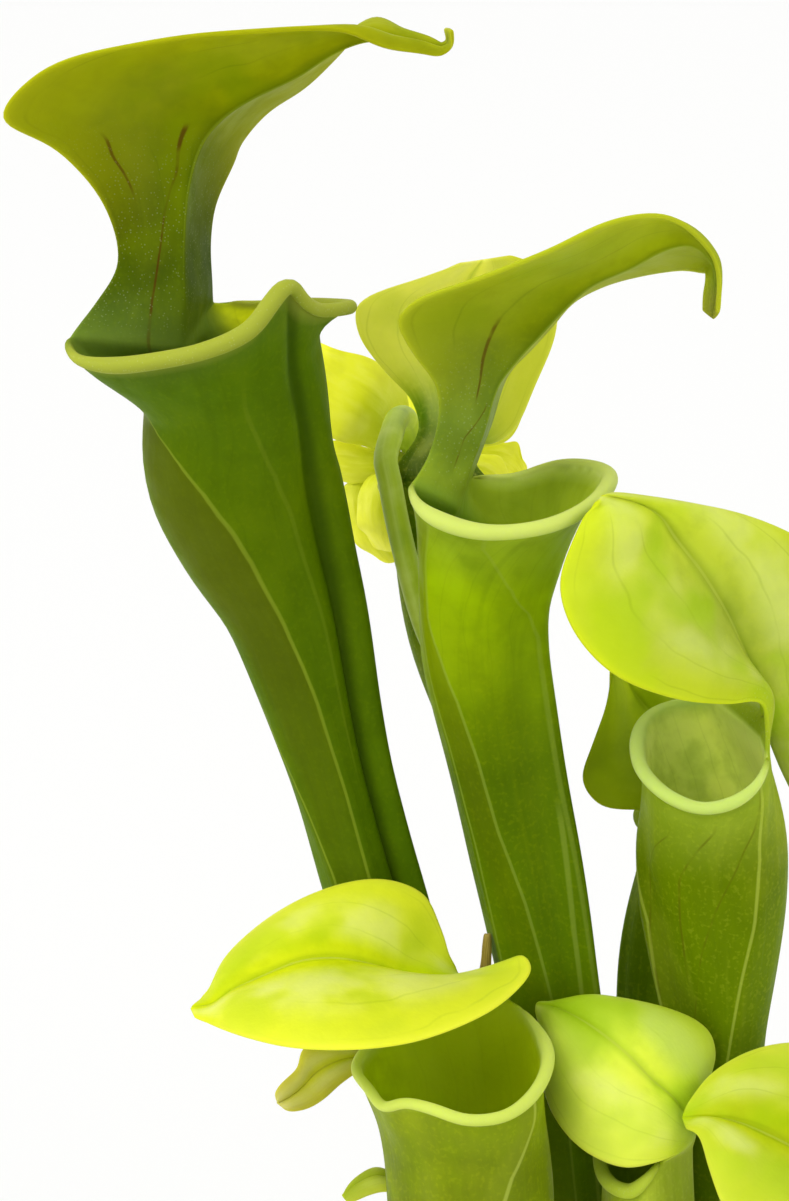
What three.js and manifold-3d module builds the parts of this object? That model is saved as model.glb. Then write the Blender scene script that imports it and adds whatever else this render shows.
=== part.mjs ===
// Sand mountain green pitcher plant: a clump of pitcher leaves and a nodding flower,
// lifted with its rhizome and roots and standing on them. Millimetres, +Z up,
// origin on the surface under the middle of the rhizome.

import * as THREE from 'three';
import { mergeVertices } from 'three/addons/utils/BufferGeometryUtils.js';
import Module from 'manifold-3d';

const wasm = await Module();
wasm.setup();

// Driving dimensions
const leafThickness = 1.2;
const petalThickness = 0.9;
const ringCrowding = 1.6;
const wingSpread = 0.2;
const rhizomeThickness = 19;
const socketTop = 20;
const socketFloor = 12;
const socketClearance = 0.5;
const holeSides = 8;
const rootCount = 18;
const rootThickness = 2.2;
const rootLength = [34, 62];
const rootRing = [30, 22];
const rootSteps = 5;
const postBottom = 5;
const postFlare = [4.5, 3.2];
const youngFootRadius = 3;
const scapeRadius = 2.5;
const padHeight = 6;
const padProud = 0.3;

// Colours read from the photograph by eye
const darkOlive = 0x56700d;
const olive = 0x687c10;
const yellowGreen = 0xa9bf2c;
const brightYellow = 0xdfe63f;
const rootBrown = 0x6b4a2c;
const witheredBrown = 0x8d6a22;

const vec = (p) => new THREE.Vector3(p[0], p[1], p[2]);
const smooth = (t) => {
  const c = Math.min(1, Math.max(0, t));
  return c * c * (3 - 2 * c);
};

// A seeded random source, so that every build gives the same roots
function seededRandom(seed) {
  let state = seed;
  return () => {
    state = (state * 1664525 + 1013904223) % 4294967296;
    return state / 4294967296;
  };
}

// A surface mesh in the making: equal points share one vertex and flat triangles are dropped
class Sheet {
  constructor() {
    this.points = [];
    this.faces = [];
    this.lookup = new Map();
  }

  vertex(p) {
    const key = [p.x, p.y, p.z].map((c) => Math.round(c * 2000)).join(',');
    if (!this.lookup.has(key)) {
      this.lookup.set(key, this.points.length);
      this.points.push(p.clone());
    }
    return this.lookup.get(key);
  }

  triangle(a, b, c) {
    if (a !== b && b !== c && c !== a) {
      this.faces.push([a, b, c]);
    }
  }

  quad(a, b, c, d) {
    this.triangle(a, b, c);
    this.triangle(a, c, d);
  }

  normals() {
    const sums = this.points.map(() => new THREE.Vector3());
    for (const [a, b, c] of this.faces) {
      const edge1 = this.points[b].clone().sub(this.points[a]);
      const edge2 = this.points[c].clone().sub(this.points[a]);
      const across = edge1.cross(edge2);
      for (const i of [a, b, c]) {
        sums[i].add(across);
      }
    }
    return sums.map((n) => n.normalize());
  }

  // Directed edges that only one face uses
  freeEdges() {
    const used = new Set();
    for (const [a, b, c] of this.faces) {
      used.add(`${a}_${b}`).add(`${b}_${c}`).add(`${c}_${a}`);
    }
    return [...used]
      .map((edge) => edge.split('_').map(Number))
      .filter(([a, b]) => !used.has(`${b}_${a}`));
  }
}

function solidGeometry(points, faces) {
  const geometry = new THREE.BufferGeometry();
  const flat = points.flatMap((p) => [p.x, p.y, p.z]);
  geometry.setAttribute('position', new THREE.Float32BufferAttribute(flat, 3));
  geometry.setIndex(faces.flat());
  return geometry;
}

// Gives a sheet its thickness. A sheet that starts at a hollow's floor ring is closed there
// by the floor inside and goes on outside as the solid stalk rings below it.
function thicken(sheet, thickness, stalk) {
  const normals = sheet.normals();
  const count = sheet.points.length;
  const offset = (side) => sheet.points.map((p, i) => p.clone().addScaledVector(normals[i], side));
  const points = [...offset(thickness / 2), ...offset(-thickness / 2)];
  const faces = [];
  for (const [a, b, c] of sheet.faces) {
    faces.push([a, b, c], [a + count, c + count, b + count]);
  }
  const floorRing = stalk ? stalk.floorRing : [];
  const isFloor = new Set(floorRing);
  for (const [a, b] of sheet.freeEdges()) {
    if (!(isFloor.has(a) && isFloor.has(b))) {
      faces.push([b, a, a + count], [b, a + count, b + count]);
    }
  }
  if (stalk) {
    const n = floorRing.length;
    const centreOf = (ring) => {
      const centre = new THREE.Vector3();
      ring.forEach((i) => centre.addScaledVector(points[i], 1 / n));
      points.push(centre);
      return points.length - 1;
    };
    const floorCentre = centreOf(floorRing.map((i) => i + count));
    const rings = stalk.rings.map((ring) => ring.map((p) => points.push(p.clone()) - 1));
    rings.push(floorRing);
    const footCentre = centreOf(rings[0]);
    for (let j = 0; j < n; j += 1) {
      const next = (j + 1) % n;
      faces.push([floorRing[j] + count, floorRing[next] + count, floorCentre]);
      faces.push([rings[0][next], rings[0][j], footCentre]);
      for (let k = 0; k + 1 < rings.length; k += 1) {
        faces.push([rings[k][j], rings[k][next], rings[k + 1][next]]);
        faces.push([rings[k][j], rings[k + 1][next], rings[k + 1][j]]);
      }
    }
  }
  return solidGeometry(points, faces);
}

// The mouth's outline, sampled so that the first columns carry the neck and the others the rim.
// Points run back, right neck end, round the front, left neck end.
function mouthColumns(mouth, neckHalf, columns) {
  const ring = [mouth.back, mouth.right, ...mouth.rim, mouth.left].map(vec);
  const curve = new THREE.CatmullRomCurve3(ring, true);
  const step = 1 / ring.length;
  const samples = 400;
  const lengths = [0];
  const at = (i) => step + (1 - 2 * step) * (i / samples);
  for (let i = 1; i <= samples; i += 1) {
    const piece = curve.getPoint(at(i)).distanceTo(curve.getPoint(at(i - 1)));
    lengths.push(lengths[i - 1] + piece);
  }
  const free = columns - 2 * neckHalf;
  const result = [];
  for (let j = 0; j < columns; j += 1) {
    let t = step * (j / neckHalf);
    if (j > columns - neckHalf) {
      t = 1 - step * ((columns - j) / neckHalf);
    } else if (j > neckHalf) {
      const wanted = lengths[samples] * ((j - neckHalf) / free);
      t = at(lengths.findIndex((length) => length >= wanted));
    }
    result.push({ point: curve.getPoint(t), tangent: curve.getTangent(t) });
  }
  return result;
}

// One pitcher leaf: petiole and tube along the spine, rolled rim round the mouth, neck and lid.
// spine: [x, y, z, half width across, half depth]; lid rows: [right margin, midrib, left margin].
function pitcherLeaf(spec) {
  const { columns, rings, neckHalf, hollowFrom } = spec;
  const spine = new THREE.CatmullRomCurve3(spec.spine.map(vec));
  const radii = new THREE.CatmullRomCurve3(spec.spine.map((s) => new THREE.Vector3(s[3], s[4], 0)));
  const mouth = mouthColumns(spec.mouth, neckHalf, columns);
  const centre = new THREE.Vector3();
  mouth.forEach((m) => centre.addScaledVector(m.point, 1 / columns));
  const mouthUp = new THREE.Vector3();
  mouth.forEach((m, j) => {
    const next = mouth[(j + 1) % columns].point.clone().sub(centre);
    mouthUp.add(m.point.clone().sub(centre).cross(next));
  });
  mouthUp.normalize();

  // Each column's turn round the tube, by its share of the mouth's outline
  const turnOf = [0];
  mouth.forEach((m, j) => {
    turnOf.push(turnOf[j] + m.point.distanceTo(mouth[(j + 1) % columns].point));
  });
  const perimeter = turnOf.pop();
  turnOf.forEach((length, j) => {
    turnOf[j] = 2 * Math.PI * (length / perimeter);
  });

  // The roll's radius fades to nothing at the two neck ends
  const rollRadius = (j) => {
    const fromEnd = Math.min(j - neckHalf, columns - neckHalf - j);
    return fromEnd <= 0 ? 0 : spec.roll * smooth((fromEnd + 0.6) / 3);
  };
  const rollAt = (j, angle) => {
    const { point, tangent } = mouth[j];
    const out = tangent.clone().cross(mouthUp).normalize();
    const up = out.clone().cross(tangent).normalize();
    const r = rollRadius(j);
    return point.clone()
      .addScaledVector(out, r * Math.cos(angle))
      .addScaledVector(up, r * Math.sin(angle));
  };

  // Tube section: an ellipse with a narrow wing down the front
  const section = (v, j) => {
    const t = spine.getUtoTmapping(v);
    const middle = spine.getPoint(t);
    const along = spine.getTangent(t);
    const size = radii.getPoint(t);
    const front = centre.clone().sub(vec(spec.mouth.heel ?? spec.mouth.back)).setZ(0);
    front.addScaledVector(along, -front.dot(along)).normalize();
    const side = front.clone().cross(along);
    const angle = turnOf[j];
    const out = side.multiplyScalar(Math.sin(angle) * size.x)
      .addScaledVector(front, -Math.cos(angle) * size.y);
    const ridge = Math.exp(-(((angle - Math.PI) / wingSpread) ** 2));
    const wing = spec.wing * smooth((v - 0.12) * 5) * smooth((1 - v) * 6) * ridge;
    return middle.add(out).addScaledVector(out.clone().normalize(), wing);
  };
  const blendFrom = spec.blendFrom;
  const tubePoint = (k, j) => {
    const v = 1 - (1 - k / rings) ** ringCrowding;
    const blend = smooth((v - blendFrom) / (1 - blendFrom)) ** 1.4;
    const point = section(v, j);
    if (blend > 0) {
      const rim = rollAt(j, Math.PI);
      point.add(rim.sub(section(1, j)).multiplyScalar(blend));
    }
    return point;
  };

  const sheet = new Sheet();
  const floorAt = Math.round(rings * hollowFrom);
  const ringIndex = [];
  for (let k = floorAt; k <= rings; k += 1) {
    ringIndex.push(mouth.map((m, j) => sheet.vertex(tubePoint(k, j))));
  }
  for (let k = 0; k + 1 < ringIndex.length; k += 1) {
    for (let j = 0; j < columns; j += 1) {
      const next = (j + 1) % columns;
      sheet.quad(ringIndex[k][j], ringIndex[k][next], ringIndex[k + 1][next], ringIndex[k + 1][j]);
    }
  }

  // Rolled rim: over the top, out and under
  const rollAngles = [Math.PI, 0.68 * Math.PI, 0.35 * Math.PI, 0, -0.35 * Math.PI];
  for (let j = neckHalf; j < columns - neckHalf; j += 1) {
    for (let a = 0; a + 1 < rollAngles.length; a += 1) {
      const corner = (column, index) => sheet.vertex(rollAt(column, rollAngles[index]));
      sheet.quad(corner(j, a), corner(j + 1, a), corner(j + 1, a + 1), corner(j, a + 1));
    }
  }

  // Neck and lid: each column runs from the mouth's back up through the lid's rows
  const lidColumns = [];
  for (let i = -neckHalf; i <= neckHalf; i += 1) {
    const s = i / neckHalf;
    const right = (s * s + s) / 2;
    const middle = 1 - s * s;
    const left = (s * s - s) / 2;
    const start = mouth[(i + columns) % columns].point;
    const rest = spec.lid.map((row) => vec(row[1]).multiplyScalar(middle)
      .addScaledVector(vec(row[0]), right)
      .addScaledVector(vec(row[2]), left));
    const curve = new THREE.CatmullRomCurve3([start, ...rest]);
    const steps = spec.lid.length * spec.lidSteps;
    const column = [];
    for (let k = 0; k <= steps; k += 1) {
      column.push(sheet.vertex(curve.getPoint(k / steps)));
    }
    lidColumns.push(column);
  }
  for (let i = 0; i + 1 < lidColumns.length; i += 1) {
    for (let k = 0; k + 1 < lidColumns[i].length; k += 1) {
      sheet.quad(lidColumns[i][k], lidColumns[i + 1][k], lidColumns[i + 1][k + 1], lidColumns[i][k + 1]);
    }
  }

  const stalkRings = [];
  for (let k = 0; k < floorAt; k += 1) {
    stalkRings.push(mouth.map((m, j) => tubePoint(k, j)));
  }
  return thicken(sheet, leafThickness, { floorRing: ringIndex[0], rings: stalkRings });
}

// The eight pitchers, from the tallest down
const pitchers = [
  {
    name: 'tall_pitcher',
    colour: darkOlive,
    columns: 22,
    rings: 14,
    neckHalf: 3,
    hollowFrom: 0.5,
    blendFrom: 0.955,
    roll: 1.5,
    lidSteps: 2,
    wing: 4,
    spine: [
      [-12, 8, 12.3, 5, 5], [-12, 8, 24, 5, 5], [-16, 9, 70, 5, 5], [-28, 9, 140, 6, 6],
      [-46.8, 10, 208, 8.8, 8.6], [-51.5, 10, 226, 8.6, 8.6], [-57.2, 10, 247, 10.3, 10.3],
      [-62.5, 10, 268, 13.2, 13.2], [-67.5, 9, 281, 16.7, 16.4], [-72, 6, 297, 19.2, 18.4],
      [-72.4, 2, 311, 17.9, 17.9], [-76, -3, 325, 19.5, 19.5],
    ],
    mouth: {
      back: [-82.5, -3, 321.5],
      heel: [-91.5, 8, 321.5],
      right: [-103.8, -8.5, 324],
      rim: [
        [-102.3, -14.5, 320.6], [-95.5, -19.5, 319.8], [-85, -25, 321.5], [-75.5, -28, 324],
        [-68, -27, 327.5], [-64, -25, 332.5], [-61, -22, 335.5], [-58.5, -18, 332],
        [-55.5, -12, 329.5], [-49.5, -2, 329], [-56, 12, 328], [-68, 20, 327],
      ],
      left: [-78, 22, 327],
    },
    lid: [
      [[-99.5, 0, 329.5], [-82, -4, 330.5], [-77.5, 13, 332.5]],
      [[-95, 0, 337.5], [-82, -4, 340.5], [-77.5, 12, 340.5]],
      [[-97.5, -2, 349], [-81, -4, 352], [-76.5, 13, 347.5]],
      [[-105.5, -8, 359.5], [-78.5, -3, 360.5], [-73, 16, 355.5]],
      [[-115, -16, 366], [-75, -4, 365], [-71.5, 20, 359.5]],
      [[-106, -22, 375.5], [-68.5, -6, 369.5], [-66.5, 21, 365.5]],
      [[-86, -24, 380.5], [-59, -8, 374], [-59, 18, 370.5]],
      [[-65, -21, 382.5], [-52, -9, 378.5], [-52, 12, 377]],
      [[-51.5, -16, 382.5], [-45.5, -8, 380.5], [-45, 8, 384]],
      [[-43, -12, 379], [-41, -6, 379.5], [-39.5, 3, 381.5]],
      [[-36, -9, 377.8], [-35.5, -7, 378.6], [-34.5, -4, 380]],
      [[-30, -7, 379], [-30.4, -6, 379.6], [-30.8, -5, 380.2]],
    ],
  },
  {
    name: 'middle_pitcher',
    colour: olive,
    columns: 22,
    rings: 14,
    neckHalf: 3,
    hollowFrom: 0.5,
    blendFrom: 0.94,
    roll: 1.7,
    lidSteps: 2,
    wing: 4,
    spine: [
      [8, 4, 12.3, 5, 5], [8, 4, 24, 5, 5], [4, 4, 70, 5.5, 5.5], [-4, 3, 140, 7, 7],
      [-9.5, 3, 185, 8.4, 8.4], [-15.5, 3, 217, 9.9, 9.8], [-20, 3, 238.5, 10.6, 10.5],
      [-23.5, 2, 260, 11.8, 11.8], [-23, 1, 272, 12.8, 12.8], [-21.5, -1, 281.5, 14.5, 14.5],
      [-18, -1, 291, 18.5, 18],
    ],
    mouth: {
      back: [-28.5, -6, 291],
      heel: [-32, 5, 293.5],
      right: [-37.5, -10, 295.5],
      rim: [
        [-37, -16, 293], [-34, -21, 291], [-27.5, -24, 289], [-21, -25, 288.5], [-11.5, -23, 289.5],
        [-3, -15, 292], [1.5, -3, 295], [-1, 10, 295], [-7, 18, 294], [-16, 22, 291],
      ],
      left: [-25.5, 20, 291.5],
    },
    lid: [
      [[-34.5, -6, 300], [-26, -6, 298.5], [-24, 9, 298]],
      [[-32.5, -6, 307.5], [-23.5, -8, 305.5], [-21.5, 8, 305]],
      [[-33, -7, 314], [-21, -8, 314], [-18.5, 9, 314]],
      [[-37.5, -12, 321], [-17.5, -8, 319], [-13.5, 12, 319]],
      [[-40.5, -17, 328], [-13, -8, 324], [-9, 17, 323]],
      [[-37, -22, 332.5], [-8, -8, 329.5], [-4.5, 22, 327.5]],
      [[-27, -27, 336.5], [-3, -9, 334], [1.5, 24, 330.5]],
      [[-13, -28, 342], [4.5, -10, 337.5], [8.5, 20, 333]],
      [[-0.5, -24, 347.5], [11, -10, 341], [16, 12, 335]],
      [[11, -16, 347.5], [16.5, -8, 341.5], [19.5, 3, 335]],
      [[19.5, -9, 340.5], [20.5, -7, 338], [19.5, -4, 335]],
      [[21.5, -8.5, 336], [21.5, -6.5, 333.5], [19, -4.5, 332]],
      [[21.8, -8, 328.5], [21, -6.5, 327], [19, -5, 328.5]],
    ],
  },
  {
    name: 'right_pitcher',
    colour: yellowGreen,
    columns: 20,
    rings: 12,
    neckHalf: 3,
    hollowFrom: 0.5,
    blendFrom: 0.9,
    roll: 1.6,
    lidSteps: 2,
    wing: 4,
    spine: [
      [26, 0, 12.3, 5, 5], [26, 0, 24, 5, 5], [26.5, 0, 70, 5, 5], [26.5, -1, 135, 6.5, 6.5],
      [26.9, -2, 178, 7.6, 7.6], [26.4, -2, 192, 10.4, 10.4], [25.5, -2, 208, 13.3, 13],
      [24, -2, 223, 14.5, 14], [21, -3, 239, 14, 14],
    ],
    mouth: {
      back: [32.9, -4, 242.6],
      heel: [35, -6, 241.5],
      right: [25.6, 11, 246],
      rim: [
        [22.5, 17, 245.2], [15, 16, 244], [10.5, 10, 243], [8, 0, 241], [8, -8, 238], [10, -14, 236],
        [13.5, -18, 234], [19, -20, 232.5], [25, -20, 233.5], [30, -18, 236.5],
      ],
      left: [33, -13, 241.1],
    },
    lid: [
      [[28.5, 13.5, 249], [33.3, -5, 246.2], [32.6, -13, 247.2]],
      [[41, 14, 240.5], [33, -6, 251], [31, -15, 252.5]],
      [[50, 13, 212.5], [31, -8, 255.5], [23.5, -20, 253.5]],
      [[54.5, 12, 222.5], [28, -9, 261], [13, -26, 256]],
      [[57, 10, 240.5], [23.5, -11, 270.5], [0.5, -30, 262]],
      [[54, 8, 260], [18.5, -13, 278.5], [-7, -28, 270]],
      [[46, 4, 277.5], [13.5, -14, 285], [-9.5, -25, 278.5]],
      [[32.5, -1, 285.5], [10, -16, 290], [-6.5, -24, 288]],
      [[19, -9, 290.5], [4.5, -18, 293], [-4, -22, 292]],
      [[0.5, -19.5, 295], [-1.5, -21, 295], [-2.5, -22.5, 294]],
    ],
  },
  {
    name: 'low_left_pitcher',
    colour: brightYellow,
    columns: 22,
    rings: 11,
    neckHalf: 3,
    hollowFrom: 0.5,
    blendFrom: 0.84,
    roll: 1.7,
    lidSteps: 2,
    wing: 3,
    spine: [
      [-22, -30, 12.3, 4.5, 4.5], [-22, -30, 24, 4.5, 4.5], [-23, -31, 55, 5.5, 5.5],
      [-24.5, -31, 95, 9.5, 9.5], [-25.5, -31, 128, 14, 13.5], [-26, -31, 155, 16.3, 15.5],
      [-26.9, -31, 172, 16.2, 16.5], [-28, -31, 183, 18, 19],
    ],
    mouth: {
      back: [-24, -10, 189],
      right: [-34, -8, 186.5],
      rim: [
        [-41.5, -12, 184], [-47.5, -20, 181.5], [-48.5, -28, 181], [-46, -36, 180.5],
        [-43, -43, 179.5], [-39, -47, 182], [-34, -50, 182], [-27.5, -52, 180.5], [-20, -50, 180.5],
        [-14, -43, 182.5], [-11, -33, 185.5], [-12.5, -24, 188],
      ],
      left: [-17.5, -16, 191],
    },
    lid: [
      [[-31.5, -5, 190], [-25, -6, 191], [-21.8, -12, 192.9]],
      [[-30.3, -6, 197.8], [-31, -12, 194], [-15.3, -20, 202]],
      [[-31, -5, 200.8], [-35, -13.5, 195], [-14, -25, 201.4]],
      [[-32, -4, 203.5], [-39.5, -15, 196.3], [-15.6, -31, 200.4]],
      [[-35, -3, 209.5], [-46, -18, 199.5], [-23, -42, 198]],
      [[-43, -4, 213], [-53, -20, 201.5], [-35.5, -50, 195.5]],
      [[-54, -5, 211.5], [-59.5, -22, 201.5], [-48.5, -54, 195]],
      [[-65, -8, 207], [-66, -24, 199.5], [-60.5, -50, 194]],
      [[-74, -13, 200.5], [-72.5, -26, 197], [-70.5, -42, 193.5]],
      [[-77.5, -21, 195.5], [-77, -28, 194.5], [-76.5, -33, 192.5]],
      [[-80, -27.5, 195], [-81, -29, 194.5], [-80, -30.5, 193]],
    ],
  },
  {
    name: 'low_middle_pitcher',
    colour: yellowGreen,
    columns: 18,
    rings: 10,
    neckHalf: 3,
    hollowFrom: 0.6,
    blendFrom: 0.78,
    roll: 1.2,
    lidSteps: 1,
    wing: 2,
    spine: [
      [5, -22, 12.3, 4, 4], [5, -22, 24, 4, 4], [6.5, -22.5, 65, 4.5, 4.5], [9, -23, 110, 7, 7],
      [10.5, -24, 140, 9.5, 9], [9.5, -23, 161, 9.5, 9.5],
    ],
    mouth: {
      back: [18, -24, 163.5],
      right: [15, -14, 163.5],
      rim: [
        [9, -11, 163.5], [3.5, -13, 162.5], [0.5, -18, 161], [0.5, -25, 158.5], [2.8, -31, 157.8],
        [5.6, -33, 158], [8.2, -34, 160.6],
      ],
      left: [11.5, -32, 163.7],
    },
    lid: [
      [[17.3, -14, 165.9], [18.5, -24, 167], [14.6, -32, 165.8]],
      [[18.9, -13, 168.7], [16.5, -25, 170], [11.4, -35, 165.2]],
      [[20.8, -14, 173], [14, -26, 174.5], [3.8, -37, 164.5]],
      [[23.2, -14.5, 179.6], [9.5, -27, 179], [-4, -33, 166.4]],
      [[21.8, -13.5, 184.3], [5.5, -27, 183.5], [-9.2, -24, 169.9]],
      [[14.1, -13, 188.2], [1.5, -25, 186.5], [-11, -19, 174.3]],
      [[1.6, -13, 189.5], [-3.5, -21, 188.8], [-10.9, -18, 180.7]],
      [[-5.5, -13, 189.5], [-8, -17, 189.8], [-11.7, -17, 186]],
      [[-12, -10.5, 189], [-12.5, -11.5, 189], [-12.5, -13, 188.4]],
    ],
  },
  {
    name: 'low_right_pitcher',
    colour: brightYellow,
    columns: 18,
    rings: 10,
    neckHalf: 3,
    hollowFrom: 0.6,
    blendFrom: 0.78,
    roll: 1.4,
    lidSteps: 1,
    wing: 2,
    spine: [
      [30, -22, 12.3, 4, 4], [30, -22, 24, 4, 4], [33, -23, 60, 4.5, 4.5], [40, -26, 95, 7, 7],
      [45, -28, 122, 9, 9], [47, -28, 144, 9.5, 10],
    ],
    mouth: {
      back: [56.5, -29, 148],
      right: [54, -20, 148],
      rim: [
        [49, -16, 147.5], [43, -18, 147], [39, -25, 145], [39.5, -33, 143], [42.5, -39, 142],
        [47, -42, 144],
      ],
      left: [53, -38, 146.5],
    },
    lid: [
      [[56, -20, 151.5], [57, -29, 151.5], [52, -38, 151]],
      [[58.5, -16, 157], [52.5, -31, 158], [46, -43, 152.5]],
      [[59, -12, 165.5], [46, -32, 162], [37.5, -46, 152.5]],
      [[54, -10, 174.5], [38.5, -33, 166], [29, -48, 155]],
      [[45, -12, 180.5], [31.5, -34, 170], [22.5, -46, 160]],
      [[33.5, -17, 182], [25.5, -34, 172.5], [20, -42, 166]],
      [[22.5, -24, 179], [20.5, -33, 173], [18.5, -37, 171]],
      [[16.5, -29.5, 174], [15.5, -31, 172.5], [16.5, -32.5, 171]],
    ],
  },
  {
    name: 'rear_pitcher',
    colour: yellowGreen,
    columns: 18,
    rings: 10,
    neckHalf: 3,
    hollowFrom: 0.6,
    blendFrom: 0.82,
    roll: 1.6,
    lidSteps: 1,
    wing: 2,
    spine: [
      [-2, 32, 12.3, 4.5, 4.5], [-2, 32, 24, 4.5, 4.5], [-3, 32, 80, 4.5, 4.5],
      [-7, 31, 150, 4.5, 4.5], [-14, 30, 195, 4.8, 4.8], [-22, 30, 228, 5.5, 5.5],
      [-31, 31, 258, 7.5, 7.5], [-32, 37, 285, 10.5, 10.5],
    ],
    mouth: {
      back: [-30, 28, 287.5],
      right: [-20, 44, 285.5],
      rim: [
        [-23, 50, 284], [-30, 55, 283.5], [-37.5, 52, 284], [-42, 46, 285.5], [-43, 38, 286.5],
      ],
      left: [-40.5, 31, 288],
    },
    lid: [
      [[-24, 45, 290], [-33.5, 33, 291.5], [-41, 30, 291.5]],
      [[-24, 47, 295], [-31.5, 36, 298], [-36, 33, 299]],
      [[-20.5, 50, 294], [-30, 37, 305], [-37.5, 34, 305.5]],
      [[-15.5, 52, 296.5], [-29, 37, 312.5], [-43, 33, 311.5]],
      [[-11, 54, 306], [-28, 36, 320], [-48.5, 32, 319.5]],
      [[-6.5, 52, 318.5], [-27, 36, 326], [-48.5, 31, 326]],
      [[-8.5, 46, 331], [-25.5, 36, 331], [-35.5, 33, 331]],
      [[-17, 41, 335], [-23, 37, 334.5], [-27, 35, 334]],
    ],
  },
  {
    name: 'hidden_pitcher',
    colour: olive,
    columns: 16,
    rings: 9,
    neckHalf: 3,
    hollowFrom: 0.7,
    blendFrom: 0.8,
    roll: 1.5,
    lidSteps: 1,
    wing: 1.5,
    spine: [
      [14, 25, 12.3, 4, 4], [14, 25, 24, 4, 4], [13.5, 26, 80, 4, 4], [13.5, 26, 150, 5, 5],
      [15, 26, 192, 6.2, 6.5], [17, 26, 206, 7, 8], [18.5, 26, 217, 8, 9.5],
    ],
    mouth: {
      back: [28, 26, 218],
      right: [25.5, 34, 218],
      rim: [
        [20.5, 38, 218], [15.5, 36, 218], [11.5, 28, 218], [12, 20, 217.5], [16, 15, 217.5],
        [21, 16, 217.5],
      ],
      left: [25.5, 19, 217.5],
    },
    lid: [
      [[25, 34, 221], [27.5, 26, 222], [22.5, 19, 221]],
      [[24, 36, 227.5], [23, 25, 228], [11.5, 17, 221.5]],
      [[22.5, 36, 236], [17.5, 24, 235], [2, 15, 223]],
      [[21, 34, 245.5], [12.5, 23, 241], [-2, 15, 228.5]],
      [[17, 30, 252], [8.5, 22, 246], [0, 16, 236]],
      [[11.5, 26, 254], [6, 21, 250.5], [3, 18, 244]],
      [[5.5, 22.5, 253.5], [4, 21, 253.5], [4, 19.5, 251.5]],
    ],
  },
];

// Two young pitchers, alike but for place, size and heading
function youngPitcher(young) {
  const { name, colour, foot, mouthCentre, mouthWidth, lidLength, lidWidth, rise, droop, lean } = young;
  const turn = THREE.MathUtils.degToRad(young.heading);
  const front = new THREE.Vector3(Math.cos(turn), Math.sin(turn), 0);
  const side = new THREE.Vector3(Math.sin(turn), -Math.cos(turn), 0);
  const place = (forward, sideways, up) => {
    const p = vec(mouthCentre).addScaledVector(front, forward).addScaledVector(side, sideways);
    return [p.x, p.y, p.z + up];
  };
  const r = mouthWidth / 2;
  const middle = vec(foot).lerp(vec(mouthCentre), 0.55);
  const lid = young.lid ?? [0.06, 0.2, 0.4, 0.6, 0.8, 0.94, 1].map((t) => {
    const forward = -r + lidLength * t * t;
    const width = Math.max(0.8, (lidWidth / 2) * Math.sin(Math.PI * Math.min(1, 0.22 + 0.76 * t)) ** 0.6);
    const up = 4 + rise * Math.sin(t * Math.PI * 0.75) - droop * t * t;
    const tilt = (lean * width * 2) / lidWidth;
    return [
      place(forward - 1, width, up - 1 + tilt),
      place(forward, 0, up),
      place(forward - 1, -width, up - 1 - tilt),
    ];
  });
  return {
    name,
    colour,
    columns: 12,
    rings: 7,
    neckHalf: 2,
    hollowFrom: 0.72,
    blendFrom: 0.8,
    roll: 0.9,
    lidSteps: 1,
    wing: 0,
    spine: [
      [...foot, youngFootRadius, youngFootRadius],
      [foot[0], foot[1], foot[2] + 20, youngFootRadius, youngFootRadius],
      [middle.x, middle.y, middle.z, r * 0.6, r * 0.6],
      [...mouthCentre, r, r],
    ],
    mouth: {
      back: place(-r, 0, 2),
      right: place(-r * 0.7, r * 0.7, 1.5),
      rim: [
        place(0, r, 0.5), place(r * 0.75, r * 0.7, 0), place(r * 1.15, 0, 0),
        place(r * 0.75, -r * 0.7, 0), place(0, -r, 0.5),
      ],
      left: place(-r * 0.7, -r * 0.7, 1.5),
    },
    lid,
  };
}

const youngPitchers = [
  {
    name: 'young_pitcher',
    colour: brightYellow,
    foot: [-14, -8, 12.3],
    mouthCentre: [-40.5, -4.5, 167],
    heading: 187,
    mouthWidth: 8,
    lid: [
      [[-38.5, -1.5, 175], [-36.5, -4, 174.5], [-38, -7, 173.5]],
      [[-46.7, -2.5, 175.3], [-46, -4.5, 174.1], [-45.6, -6.5, 172.7]],
      [[-51, -3, 177.2], [-49.5, -5, 175], [-48.1, -7, 172.9]],
      [[-56, -4, 178.1], [-53.6, -6, 174.5], [-51.8, -7.5, 170.7]],
      [[-59.7, -5, 177.1], [-57.3, -6.5, 172.3], [-55.5, -8, 167.4]],
      [[-60.8, -6.5, 173.6], [-60.1, -7.5, 169.6], [-58.7, -8.5, 165.7]],
      [[-63.8, -7.5, 170.7], [-62.9, -8.5, 167.8], [-61.5, -9, 165.4]],
      [[-65.2, -8.5, 167.6], [-65, -8.8, 166.9], [-64.4, -9, 166.3]],
    ],
  },
  {
    name: 'tiny_pitcher',
    colour: yellowGreen,
    foot: [-36, -14, 12.3],
    mouthCentre: [-44.5, -14.5, 143],
    heading: 200,
    mouthWidth: 7,
    lidLength: 11,
    lidWidth: 8,
    rise: 7,
    droop: 2,
    lean: 1,
  },
].map(youngPitcher);

// A solid from rows of points: each row is one closed section, capped at both ends
function loft(rows) {
  const points = rows.flat();
  const n = rows[0].length;
  const faces = [];
  for (let k = 0; k + 1 < rows.length; k += 1) {
    for (let j = 0; j < n; j += 1) {
      const a = k * n + j;
      const b = k * n + ((j + 1) % n);
      faces.push([a, b, b + n], [a, b + n, a + n]);
    }
  }
  const last = (rows.length - 1) * n;
  for (let j = 1; j + 1 < n; j += 1) {
    faces.push([0, j + 1, j], [last, last + j, last + j + 1]);
  }
  return solidGeometry(points, faces);
}

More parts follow.
